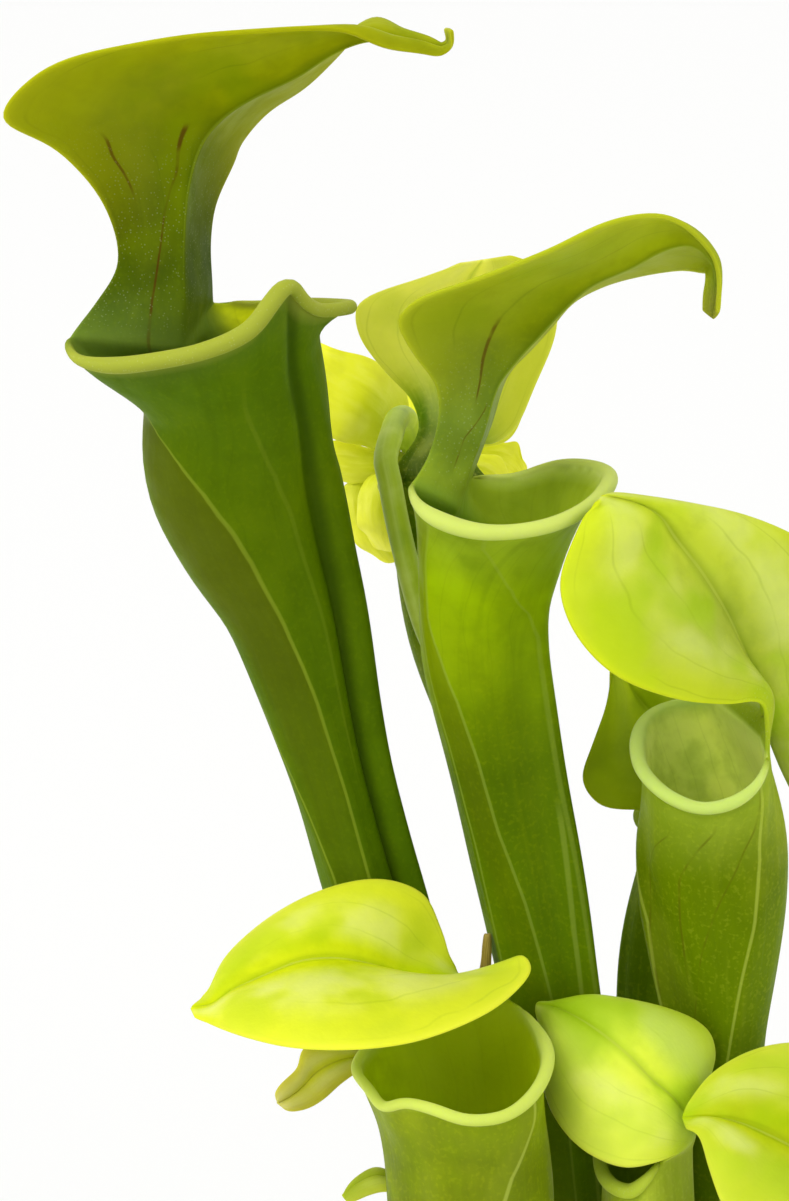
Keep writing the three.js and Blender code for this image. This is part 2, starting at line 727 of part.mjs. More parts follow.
// A round tube along points, with a radius for any place along it
function roundTube(path, sides, steps, radiusAt) {
  const curve = new THREE.CatmullRomCurve3(path.map(vec));
  const rows = [];
  const side = new THREE.Vector3();
  for (let k = 0; k <= steps; k += 1) {
    const along = curve.getTangentAt(k / steps);
    if (k === 0) {
      const helper = Math.abs(along.z) > 0.9 ? new THREE.Vector3(1, 0, 0) : new THREE.Vector3(0, 0, 1);
      side.crossVectors(helper, along);
    }
    side.addScaledVector(along, -side.dot(along)).normalize();
    const up = along.clone().cross(side);
    const middle = curve.getPointAt(k / steps);
    const row = [];
    for (let j = 0; j < sides; j += 1) {
      const angle = 2 * Math.PI * (j / sides);
      const r = radiusAt(k / steps, angle);
      row.push(middle.clone()
        .addScaledVector(side, r * Math.cos(angle))
        .addScaledVector(up, r * Math.sin(angle)));
    }
    rows.push(row);
  }
  return loft(rows);
}

// A leaf blade from rows of [left, middle, right] points
function blade(rows, across, stepsEach, thickness) {
  const sheet = new Sheet();
  const columns = [];
  for (let i = 0; i <= across; i += 1) {
    const s = (2 * i) / across - 1;
    const curve = new THREE.CatmullRomCurve3(rows.map((row) => row[1].clone().multiplyScalar(1 - s * s)
      .addScaledVector(row[0], (s * s - s) / 2)
      .addScaledVector(row[2], (s * s + s) / 2)));
    const steps = (rows.length - 1) * stepsEach;
    const column = [];
    for (let k = 0; k <= steps; k += 1) {
      column.push(sheet.vertex(curve.getPoint(k / steps)));
    }
    columns.push(column);
  }
  for (let i = 0; i < across; i += 1) {
    for (let k = 0; k + 1 < columns[i].length; k += 1) {
      sheet.quad(columns[i][k], columns[i + 1][k], columns[i + 1][k + 1], columns[i][k + 1]);
    }
  }
  return thicken(sheet, thickness);
}

function toManifold(geometry) {
  const bare = geometry.clone();
  bare.deleteAttribute('normal');
  bare.deleteAttribute('uv');
  const merged = mergeVertices(bare, 1e-4);
  return new wasm.Manifold(new wasm.Mesh({
    numProp: 3,
    vertProperties: new Float32Array(merged.attributes.position.array),
    triVerts: new Uint32Array(merged.index.array),
  }));
}

function fromManifold(solid) {
  const mesh = solid.getMesh();
  const geometry = new THREE.BufferGeometry();
  geometry.setAttribute('position', new THREE.Float32BufferAttribute(mesh.vertProperties, 3));
  geometry.setIndex(new THREE.Uint32BufferAttribute(mesh.triVerts, 1));
  return geometry;
}

const fuse = (geometries) => geometries.map(toManifold).reduce((sum, next) => sum.add(next));

// Flower: the scape hooks over at the top and the head hangs from it
const scapePath = [
  [-8, 22, 12.3], [-8, 22, 30], [-8, 22, 100], [-10, 20.5, 165], [-17.5, 19, 211.5],
  [-23.5, 18.5, 231.5], [-29.5, 18.5, 248.5], [-35, 19, 261.5], [-38.5, 20, 274], [-40.5, 21, 282.5],
  [-42, 22, 290.5], [-42.8, 24, 294], [-42.3, 28, 296.5], [-41.5, 34, 298.3], [-40.5, 45, 299.6],
  [-39.2, 58, 298.4], [-38, 69, 295.2], [-37.5, 76.2, 289.3],
];
const flowerCentre = [-37.5, 78, 284.5];

// Five sepals, then five petals: rows of one margin, the middle and the other margin
const flowerBlades = [
  [
    [[-39.9, 77.9, 286.6], [-40.6, 77.4, 285.7], [-41.4, 76.8, 284.8]],
    [[-37.7, 81, 297.6], [-42.5, 77, 293], [-45.1, 72, 288.8]],
    [[-42.9, 74, 307.1], [-47.2, 65, 300.6], [-51.9, 66, 291.4]],
    [[-51.9, 69, 311.3], [-55.6, 66, 305.7], [-59.2, 67, 295.2]],
    [[-61.3, 70, 314.1], [-62.9, 69, 311.1], [-64, 70, 306.5]],
  ],
  [
    [[-35.4, 76.9, 286.7], [-34.7, 76.4, 285.7], [-34.1, 75.9, 284.7]],
    [[-30.9, 75, 297.4], [-28.7, 73, 293.2], [-26, 73, 288.2]],
    [[-24.2, 76, 305.7], [-20.5, 74, 299.3], [-15.1, 73, 291.4]],
    [[-16.4, 78, 313.3], [-13.1, 76, 308], [-10.7, 75, 302.7]],
    [[-6.8, 80, 316.4], [-5.7, 80, 316], [-5.5, 79, 314.7]],
  ],
  [
    [[-39.8, 75.9, 285.8], [-39.9, 75.9, 284.5], [-40.1, 75.9, 283.2]],
    [[-45.1, 73, 288.4], [-45.6, 71, 285.8], [-45.8, 73, 281.7]],
    [[-50.9, 74, 290.5], [-51.1, 72, 286.1], [-50.9, 74, 281.1]],
    [[-55.4, 75, 290.6], [-56.1, 74, 286.3], [-55.2, 75, 281.6]],
    [[-58.1, 76, 288.6], [-59, 76, 286.4], [-58.1, 76, 283.7]],
  ],
  [
    [[-38.8, 81.2, 285.7], [-37.5, 81.2, 285.7], [-36.2, 81.2, 285.7]],
    [[-41.3, 90, 291], [-37.5, 92, 291.4], [-33.4, 90, 291]],
    [[-42.5, 96, 296.1], [-37.4, 98, 296.8], [-32.4, 96, 296.1]],
    [[-40.9, 99, 300.3], [-37.4, 100, 301.6], [-34, 99, 300.3]],
    [[-38.4, 100, 303.4], [-37.4, 100, 303.9], [-36.5, 100, 303.4]],
  ],
  [
    [[-36.7, 80.6, 286.4], [-35.6, 80.6, 285.7], [-34.5, 80.6, 285]],
    [[-31.6, 87, 291], [-29.3, 89, 288.9], [-27.3, 87, 286.9]],
    [[-27.9, 91, 296.1], [-24.2, 93, 292.9], [-20.6, 91, 290.4]],
    [[-23.3, 94, 298.7], [-20.5, 95, 296.3], [-18.2, 94, 294.1]],
    [[-18.2, 96, 299.8], [-17.7, 96, 299.4], [-17.3, 96, 298.7]],
  ],
  [
    [[-40, 75, 283.2], [-38.7, 75, 283], [-37.4, 75, 282.8]],
    [[-47.3, 69, 282.4], [-43.3, 64, 283.4], [-39.1, 69, 281.7]],
    [[-49.3, 69, 276.7], [-44.4, 62, 277.5], [-38.9, 68, 275.6]],
    [[-48.3, 71, 270.9], [-43.8, 65, 271.2], [-39.1, 70, 269.5]],
    [[-44.7, 73, 266.7], [-42.5, 71, 266.2], [-40.4, 72, 266.4]],
  ],
  [
    [[-41.7, 76.9, 283.6], [-40.5, 76.9, 283], [-39.3, 76.9, 282.4]],
    [[-52.5, 76, 279.8], [-48.3, 74, 281.3], [-43.1, 78, 280.1]],
    [[-53, 77, 275.3], [-48.3, 74, 274.9], [-42.9, 78, 273.3]],
    [[-51, 78, 268.7], [-46.5, 75, 267.9], [-41.3, 78, 266.9]],
    [[-45.2, 79, 263.4], [-42.2, 78, 262], [-39.5, 79, 263]],
  ],
  [
    [[-35.1, 75.6, 284.6], [-35.3, 75.6, 283.3], [-35.5, 75.6, 282]],
    [[-27.6, 71, 287.6], [-28.3, 68, 285.4], [-28.9, 71, 281.8]],
    [[-20.7, 71, 288.3], [-21.7, 67, 284.3], [-23.3, 71, 278.2]],
    [[-15.9, 73, 284.8], [-17.6, 70, 279.7], [-20.1, 73, 273.7]],
    [[-15.1, 75, 275.9], [-16.5, 74, 274.5], [-18, 75, 273.4]],
  ],
  [
    [[-34.5, 78.5, 284.6], [-34.3, 78.5, 283.3], [-34.2, 78.5, 282]],
    [[-26.3, 81, 288.5], [-25.8, 80, 286], [-25.8, 81, 282.8]],
    [[-17.2, 83, 289.3], [-16.8, 81, 285.6], [-17.1, 83, 280.7]],
    [[-12.8, 84, 287.8], [-14.2, 83, 283.4], [-13.9, 84, 278.2]],
    [[-11.2, 85, 282.2], [-11.6, 85, 279.9], [-12.3, 85, 277.5]],
  ],
  [
    [[-38.6, 81.2, 283.1], [-37.4, 81.2, 283], [-36.1, 81.2, 282.9]],
    [[-41.1, 86, 277.4], [-37, 89, 277.3], [-32.5, 86, 277.4]],
    [[-41.6, 88, 270.1], [-37, 92, 268.9], [-32, 88, 270.1]],
    [[-40.4, 87, 264.2], [-37, 89, 262.9], [-33.3, 87, 264.2]],
    [[-38.1, 86, 261.1], [-37, 87, 260.2], [-35.6, 86, 261.1]],
  ],
];

function flowerHead() {
  const pieces = flowerBlades.map((rows) => {
    const corners = rows.map((row) => row.map(vec));
    return blade(corners, 4, 1, petalThickness);
  });
  // Ovary above, then the style that ends in an umbrella
  const profile = [
    [0, 3.4], [3.2, 2.8], [5.2, 0], [5.2, -4], [2.2, -7], [1.4, -10], [1.4, -16],
    [5, -16.5], [7.5, -18], [7.2, -19], [0, -18],
  ].map(([x, y]) => new THREE.Vector2(x, y));
  const core = new THREE.LatheGeometry(profile.reverse(), 8);
  core.rotateX(Math.PI / 2);
  core.translate(...flowerCentre);
  pieces.push(core);
  return fromManifold(fuse(pieces));
}

// Withered leaf tips: narrow blades that stand between the pitchers
function witheredBlade(path, width) {
  const rows = path.map((p, k) => {
    const t = k / (path.length - 1);
    const half = (width / 2) * Math.sin(Math.PI * (0.28 + 0.68 * t));
    const middle = vec(p);
    return [
      middle.clone().add(new THREE.Vector3(-half, 0.6, 0)),
      middle,
      middle.clone().add(new THREE.Vector3(half, 0.6, 0)),
    ];
  });
  return blade(rows, 2, 2, 1.1);
}

// Rhizome: branches with rings of old leaf scars, a socket for each leaf, and roots
const branches = [
  [[-42, -16, 8], [-22, -26, 8], [5, -23, 8], [34, -21, 8]],
  [[-26, 9, 8], [-8, 3, 8], [12, 0, 8], [36, -2, 8]],
  [[-24, 22, 8], [-4, 30, 8], [22, 24, 8]],
  [[-14, -26, 8], [-13, -6, 8], [-10, 14, 8], [-6, 33, 8]],
  [[30, -22, 8], [26, 0, 8], [16, 26, 8]],
];
const branchRadius = rhizomeThickness / 2;

// Worn flats on the underside that the plant stands on, the middle one round the origin
const standingPads = [
  { at: [4.8, 6.5], radius: 15 },
  { at: [-32, -21], radius: 6 },
  { at: [28, -20], radius: 6 },
  { at: [-6, 31], radius: 6 },
];

const feet = [
  ...pitchers.map((p) => ({ at: p.spine[0], radius: p.spine[0][3] + leafThickness / 2 })),
  ...youngPitchers.map((p) => ({ at: p.spine[0], radius: youngFootRadius + leafThickness / 2 })),
  { at: scapePath[0], radius: scapeRadius },
];

function taperedPost(at, bottom, top, bottomRadius, topRadius, sides) {
  const height = top - bottom;
  const post = new THREE.CylinderGeometry(topRadius, bottomRadius, height, sides);
  post.rotateX(Math.PI / 2);
  post.translate(at[0], at[1], bottom + height / 2);
  return post;
}

function rhizomeSolid() {
  const random = seededRandom(41);
  const pieces = branches.map((path) => roundTube(path, 8, 8, (t, angle) => {
    const ends = Math.sqrt(Math.max(0.12, 1 - (2 * t - 1) ** 8));
    return branchRadius * ends * (1 + 0.06 * Math.sin(t * 60) + 0.05 * Math.sin(3 * angle + t * 9));
  }));
  const [flareLow, flareHigh] = postFlare;
  for (const { at, radius } of feet) {
    pieces.push(taperedPost(at, postBottom, socketTop, radius + flareLow, radius + flareHigh, 7));
  }
  for (let i = 0; i < rootCount; i += 1) {
    const azimuth = (2 * Math.PI * (i + 0.6 * random())) / rootCount;
    const length = rootLength[0] + (rootLength[1] - rootLength[0]) * random();
    const start = [rootRing[0] * Math.cos(azimuth), rootRing[1] * Math.sin(azimuth), 6 + 4 * random()];
    const bend = (random() - 0.5) * 0.9;
    const path = [];
    for (let k = 0; k <= rootSteps; k += 1) {
      const t = k / rootSteps;
      const a = azimuth + bend * t * t + 0.12 * Math.sin(t * 7 + i);
      const reach = length * t;
      const arch = start[2] * (1 - t * 2.2) + 3 * Math.sin(Math.PI * t) * random();
      const lift = Math.max(rootThickness / 2 - 0.2, arch);
      path.push([start[0] + reach * Math.cos(a), start[1] + reach * Math.sin(a), lift]);
    }
    pieces.push(roundTube(path, 4, 6, (t) => (rootThickness / 2) * (1 - 0.45 * t)));
  }
  let solid = fuse(pieces);
  for (const foot of feet) {
    const r = foot.radius / Math.cos(Math.PI / holeSides) + socketClearance;
    const hole = taperedPost(foot.at, socketFloor, socketTop + 4, r, r, holeSides);
    solid = solid.subtract(toManifold(hole));
  }
  // Cut level just above the ground, so that only the pads reach it
  const below = new THREE.BoxGeometry(400, 400, 40);
  below.translate(0, 0, padProud - 20);
  const level = solid.subtract(toManifold(below)).decompose();
  const body = level.reduce((best, next) => (next.volume() > best.volume() ? next : best));
  const pads = standingPads.map(({ at, radius }) => taperedPost(at, 0, padHeight, radius, radius, 5));
  return fromManifold(pads.map(toManifold).reduce((sum, pad) => sum.add(pad), body));
}

const group = new THREE.Group();

function addPiece(name, geometry, colour, roughness) {
  const material = new THREE.MeshStandardMaterial({ color: colour, roughness, metalness: 0 });
  const mesh = new THREE.Mesh(geometry, material);
  mesh.name = name;
  group.add(mesh);
}

for (const spec of [...pitchers, ...youngPitchers]) {
  addPiece(spec.name, pitcherLeaf(spec), spec.colour, 0.45);
}
addPiece('flower_stalk', roundTube(scapePath, 8, 24, () => scapeRadius), yellowGreen, 0.5);
addPiece('flower_head', flowerHead(), brightYellow, 0.5);
addPiece(
  'withered_leaf',
  witheredBlade([[-7, -11, 21], [-10, -8, 80], [-18, -5, 150], [-22.6, -2.5, 183], [-22, -2.5, 201]], 6.6),
  witheredBrown,
  0.8,
);
addPiece('rhizome_with_roots', rhizomeSolid(), rootBrown, 0.9);

export default group;
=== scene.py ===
import math
from functools import partial

import bmesh
import bpy
import numpy as np
from mathutils import Matrix, Vector, noise


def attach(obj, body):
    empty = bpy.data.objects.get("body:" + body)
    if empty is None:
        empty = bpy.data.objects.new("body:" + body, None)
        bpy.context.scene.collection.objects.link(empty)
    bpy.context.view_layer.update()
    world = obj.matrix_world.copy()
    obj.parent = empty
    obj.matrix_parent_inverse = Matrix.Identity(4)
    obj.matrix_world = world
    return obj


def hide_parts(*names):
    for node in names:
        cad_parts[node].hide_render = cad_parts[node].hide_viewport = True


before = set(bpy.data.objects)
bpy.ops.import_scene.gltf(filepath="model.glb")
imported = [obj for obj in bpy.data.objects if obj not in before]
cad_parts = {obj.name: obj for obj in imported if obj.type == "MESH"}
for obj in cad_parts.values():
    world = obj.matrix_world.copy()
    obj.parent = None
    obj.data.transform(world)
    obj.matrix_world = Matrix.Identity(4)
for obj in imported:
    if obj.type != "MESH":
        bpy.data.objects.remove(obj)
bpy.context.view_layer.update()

mm = 0.001  # all dimensions below are in millimetres
mergeWithin = 0.02

# Camera first: it stands where the photograph was taken from
view = {"eye": (-41, -586.9, 394.7), "tiltDown": 12, "longSide": 1201, "focalPixels": 3000, "sensor": 36}


def makeCamera():
    camera = bpy.data.objects.new("camera", bpy.data.cameras.new("camera"))
    bpy.context.scene.collection.objects.link(camera)
    camera.data.sensor_width = view["sensor"]
    camera.data.lens = view["sensor"] * view["focalPixels"] / view["longSide"]
    camera.location = Vector(view["eye"]) * mm
    camera.rotation_euler = (math.radians(90 - view["tiltDown"]), 0, 0)
    bpy.context.scene.camera = camera


makeCamera()
print("camera in place")


# Curves and shapes, worked in millimetres
def smooth(t):
    c = np.clip(t, 0, 1)
    return c * c * (3 - 2 * c)


def unit(v):
    return v / (np.linalg.norm(v, axis=-1, keepdims=True) + 1e-12)


def curveThrough(points, closed=False):
    p = np.array(points, float)
    segments = len(p) if closed else len(p) - 1
    q = np.vstack([p[-1:], p, p[:2]]) if closed else np.vstack([2 * p[0] - p[1], p, 2 * p[-1] - p[-2]])
    gaps = np.sqrt(np.linalg.norm(np.diff(q, axis=0), axis=1))
    parts = []
    for i in range(segments):
        before, own, after = gaps[i:i + 3]
        own = own if own > 1e-4 else 1.0
        before = before if before > 1e-4 else own
        after = after if after > 1e-4 else own
        a, b, c, d = q[i:i + 4]
        leave = own * ((b - a) / before - (c - a) / (before + own) + (c - b) / own)
        arrive = own * ((c - b) / own - (d - b) / (own + after) + (d - c) / after)
        parts.append((b, leave, 3 * (c - b) - 2 * leave - arrive, 2 * (b - c) + leave + arrive))
    cubic = np.array(parts)

    def at(t):
        s = np.clip(np.atleast_1d(t), 0, 1) * segments
        i = np.minimum(s.astype(int), segments - 1)
        w = (s - i)[:, None]
        return cubic[i, 0] + cubic[i, 1] * w + cubic[i, 2] * w ** 2 + cubic[i, 3] * w ** 3

    return at


def evenly(at, shares, pieces=200):  # shares of the curve's length as its own parameter
    t = np.linspace(0, 1, pieces + 1)
    length = np.concatenate([[0], np.cumsum(np.linalg.norm(np.diff(at(t), axis=0), axis=1))])
    return np.interp(np.atleast_1d(shares) * length[-1], length, t)


def headingOf(at, t, reach=1e-4):
    return unit(at(np.clip(t + reach, 0, 1)) - at(np.clip(t - reach, 0, 1)))


# Mesh making: each sheet starts as a flat grid that is laid over the shape
def newSheetMesh(markNames=()):
    bm = bmesh.new()
    bm.loops.layers.uv.new("leafUv")
    for name in markNames:
        bm.verts.layers.float.new(name)
    return bm


def gridShares(along, across):  # u across and v along a sheet
    u = np.tile(np.linspace(0, 1, across + 1), (along + 1, 1))
    v = np.tile(np.linspace(0, 1, along + 1)[:, None], (1, across + 1))
    return u, v


def addSheet(bm, places, u, v, marks=None):
    rows, columns = places.shape[:2]
    grid = bmesh.ops.create_grid(
        bm, x_segments=columns - 1, y_segments=rows - 1, size=0.5,
        matrix=Matrix.Translation((0.5, 0.5, 0)), calc_uvs=False,
    )
    uvLayer = bm.loops.layers.uv["leafUv"]
    spot = {}
    for vert in grid["verts"]:
        spot[vert] = (round(vert.co.y * (rows - 1)), round(vert.co.x * (columns - 1)))
    for vert, (row, column) in spot.items():
        vert.co = Vector(places[row, column]) * mm
        for name, values in (marks or {}).items():
            vert[bm.verts.layers.float[name]] = float(values[row, column])
    for face in {face for vert in grid["verts"] for face in vert.link_faces}:
        for loop in face.loops:
            row, column = spot[loop.vert]
            loop[uvLayer].uv = (u[row, column], v[row, column])


def addTube(bm, path, sides, steps, radiusAt):  # radiusAt(t, angles) gives the section
    spine = curveThrough(path)
    shares = np.linspace(0, 1, steps + 1)
    at = evenly(spine, shares)
    middles, alongs = spine(at), headingOf(spine, at)
    angles = np.linspace(0, 2 * math.pi, sides + 1)
    side = np.array((1.0, 0, 0)) if abs(alongs[0][2]) > 0.9 else np.array((0, 0, 1.0))
    side = np.cross(side, alongs[0])
    rows = []
    for t, middle, along in zip(shares, middles, alongs):
        side = unit(side - along * side.dot(along))
        up = np.cross(along, side)
        r = np.asarray(radiusAt(t, angles)) * np.ones(sides + 1)
        rows.append(middle + np.outer(r * np.cos(angles), side) + np.outer(r * np.sin(angles), up))
    addSheet(bm, np.array(rows), *gridShares(steps, sides))


def mergeDoubles(bm):
    bmesh.ops.remove_doubles(bm, verts=bm.verts, dist=mergeWithin * mm)


def closeEnds(bm):
    mergeDoubles(bm)
    bmesh.ops.holes_fill(bm, edges=[edge for edge in bm.edges if edge.is_boundary], sides=0)


def finishPiece(bm, name, node, slotName, material):
    mergeDoubles(bm)
    mesh = bpy.data.meshes.new(name)
    bm.to_mesh(mesh)
    bm.free()
    mesh.shade_smooth()
    piece = bpy.data.objects.new(name, mesh)
    bpy.context.scene.collection.objects.link(piece)
    mesh.materials.append(material)
    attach(piece, "root")
    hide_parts(node)
    return piece


def refine(piece):
    fine = piece.modifiers.new("fine", "SUBSURF")
    fine.levels = fine.render_levels = 1


def thicken(piece, thickness):
    wall = piece.modifiers.new("wall", "SOLIDIFY")
    wall.thickness = thickness * mm
    wall.offset = 0
    wall.use_rim = True
    refine(piece)


# Materials: helpers that each add nodes to a tree
def put(tree, kind, feeds=None, **settings):
    node = tree.nodes.new(kind)
    for key, value in settings.items():
        setattr(node, key, value)
    for socket, value in (feeds or {}).items():
        if isinstance(value, bpy.types.NodeSocket):
            tree.links.new(value, node.inputs[socket])
        else:
            node.inputs[socket].default_value = value
    return node


def calc(tree, operation, *values):
    return put(tree, "ShaderNodeMath", dict(enumerate(values)), operation=operation).outputs[0]


def product(tree, first, *others):
    for other in others:
        first = calc(tree, "MULTIPLY", first, other)
    return first


def mixColour(tree, factor, first, second):
    return put(tree, "ShaderNodeMix", {0: factor, 6: first, 7: second}, data_type="RGBA").outputs[2]


def fadeBetween(tree, value, low, high, toLow=0.0, toHigh=1.0):
    feeds = {"Value": value, "From Min": low, "From Max": high, "To Min": toLow, "To Max": toHigh}
    return put(tree, "ShaderNodeMapRange", feeds, interpolation_type="SMOOTHSTEP").outputs["Result"]


def rgba(hexColour):  # sRGB hex to linear
    channels = [int(hexColour[i:i + 2], 16) / 255 for i in (0, 2, 4)]
    return (*[c / 12.92 if c < 0.04045 else ((c + 0.055) / 1.055) ** 2.4 for c in channels], 1)


def newMaterial(name):
    material = bpy.data.materials.new(name)
    material.use_nodes = True
    tree = material.node_tree
    tree.nodes.clear()
    shader = put(tree, "ShaderNodeBsdfPrincipled")
    out = put(tree, "ShaderNodeOutputMaterial")
    tree.links.new(shader.outputs[0], out.inputs[0])
    return material, tree, shader


def uvPlaces(tree):
    both = put(tree, "ShaderNodeSeparateXYZ", {0: put(tree, "ShaderNodeUVMap", uv_map="leafUv").outputs[0]})
    return both.outputs[0], both.outputs[1]


def noisePattern(tree, vector, scale, detail=3):
    feeds = {"Vector": vector, "Scale": scale, "Detail": detail}
    return put(tree, "ShaderNodeTexNoise", feeds).outputs[0]


def streakPattern(tree, u, v, across, along):
    feeds = {0: calc(tree, "MULTIPLY", u, across), 1: calc(tree, "MULTIPLY", v, along)}
    return noisePattern(tree, put(tree, "ShaderNodeCombineXYZ", feeds).outputs[0], 1)


def roughen(tree, shader, height, strength, depth):
    bump = put(tree, "ShaderNodeBump", {"Height": height, "Strength": strength, "Distance": depth * mm})
    tree.links.new(bump.outputs[0], shader.inputs["Normal"])


def plainSkin(name, low, high, light, dark, rough=0.5, scale=120, stripes=0):
    material, tree, shader = newMaterial(name)
    fade = partial(fadeBetween, tree)
    u, v = uvPlaces(tree)
    place = put(tree, "ShaderNodeTexCoord").outputs["Object"]
    colour = mixColour(tree, fade(v, 0, 1), rgba(low), rgba(high))
    fine = noisePattern(tree, place, scale, 4)
    colour = mixColour(tree, fade(fine, 0.5, 0.7, 0, 0.5), colour, rgba(light))
    colour = mixColour(tree, fade(fine, 0.5, 0.3, 0, 0.5), colour, rgba(dark))
    height = fine
    if stripes:
        streak = streakPattern(tree, u, v, stripes, 3)
        colour = mixColour(tree, fade(streak, 0.45, 0.75, 0, 0.5), colour, rgba(light))
        colour = mixColour(tree, fade(streak, 0.5, 0.25, 0, 0.45), colour, rgba(dark))
        height = calc(tree, "ADD", streak, calc(tree, "MULTIPLY", fine, 0.4))
    tree.links.new(colour, shader.inputs["Base Color"])
    shader.inputs["Roughness"].default_value = rough
    roughen(tree, shader, height, 0.5, 0.6)
    return material


# Lines that follow a leaf are given as (v, u) points: v runs up the leaf, u round its tube
def lineOffset(tree, u, v, line):
    node = put(tree, "ShaderNodeFloatCurve", {"Value": calc(tree, "MULTIPLY", v, 0.5)})
    points = node.mapping.curves[0].points
    places = [(at / 2, across) for at, across in sorted(line["path"])]
    ends = [(0, places[0][1]), (1, places[-1][1])]
    for i, place in enumerate(ends + places):
        point = points[i] if i < 2 else points.new(*place)
        if i < 2:
            point.location = place
        point.handle_type = "VECTOR"
    node.mapping.update()
    return calc(tree, "SUBTRACT", u, node.outputs[0])


def alongLine(tree, v, line):  # 1 between the line's two ends
    heights = [at for at, across in line["path"]]
    rise = fadeBetween(tree, v, min(heights) - 0.02, min(heights) + 0.02)
    return calc(tree, "MULTIPLY", rise, fadeBetween(tree, v, max(heights) + 0.02, max(heights) - 0.01))


def lineMask(tree, u, v, line, width):
    off = calc(tree, "ABSOLUTE", lineOffset(tree, u, v, line))
    return calc(tree, "MULTIPLY", fadeBetween(tree, off, width, width * 0.3), alongLine(tree, v, line))


def shadedFacetMask(tree, u, v, line, width):  # a zone on one side of a line, sharp at the line, where painted shade lies beside a ridge
    off = lineOffset(tree, u, v, line)
    sharp = fadeBetween(tree, off, 0.004, -0.006)
    soft = fadeBetween(tree, off, -width, -width * 0.55)
    return product(tree, sharp, soft, alongLine(tree, v, line))


def thinLines(tree, across, wander, count, sway):  # lines side by side that wander a little
    run = calc(tree, "FRACT", calc(tree, "MULTIPLY_ADD", wander, sway, calc(tree, "MULTIPLY", across, count)))
    return fadeBetween(tree, calc(tree, "ABSOLUTE", calc(tree, "SUBTRACT", run, 0.5)), 0.05, 0.0)


leafSkin = {  # scales of the patterns first, then the sizes and strengths of the marks
    "broad": 45, "patch": 62, "mottle": 190, "wander": 55, "grain": 1100, "breaks": 150, "specks": 1300,
    "streaks": (38, 6), "fanLines": (3.4, 0.8), "nerves": (17, 0.9), "crestWidth": 0.006,
    "valleyWidth": 0.024, "valleyAmount": 0.6,
    "veinWidth": 0.003, "veinAmount": 0.8, "veinSway": 0.012, "veinTone": "5a3208",
    "midribShadeAmount": 0.35, "marginWidth": 0.2, "paintedInsideAmount": 0.85, "rimAmount": 0.9, "speckAmount": 0.16,
    "speckTone": "c8d09a", "roughness": (0.46, 0.6), "reliefStrength": 0.45, "reliefDepth": 0.7,
    "throughLight": {"Weight": 0.7, "Radius": (1.0, 1.0, 0.25), "Scale": 0.0025},
}


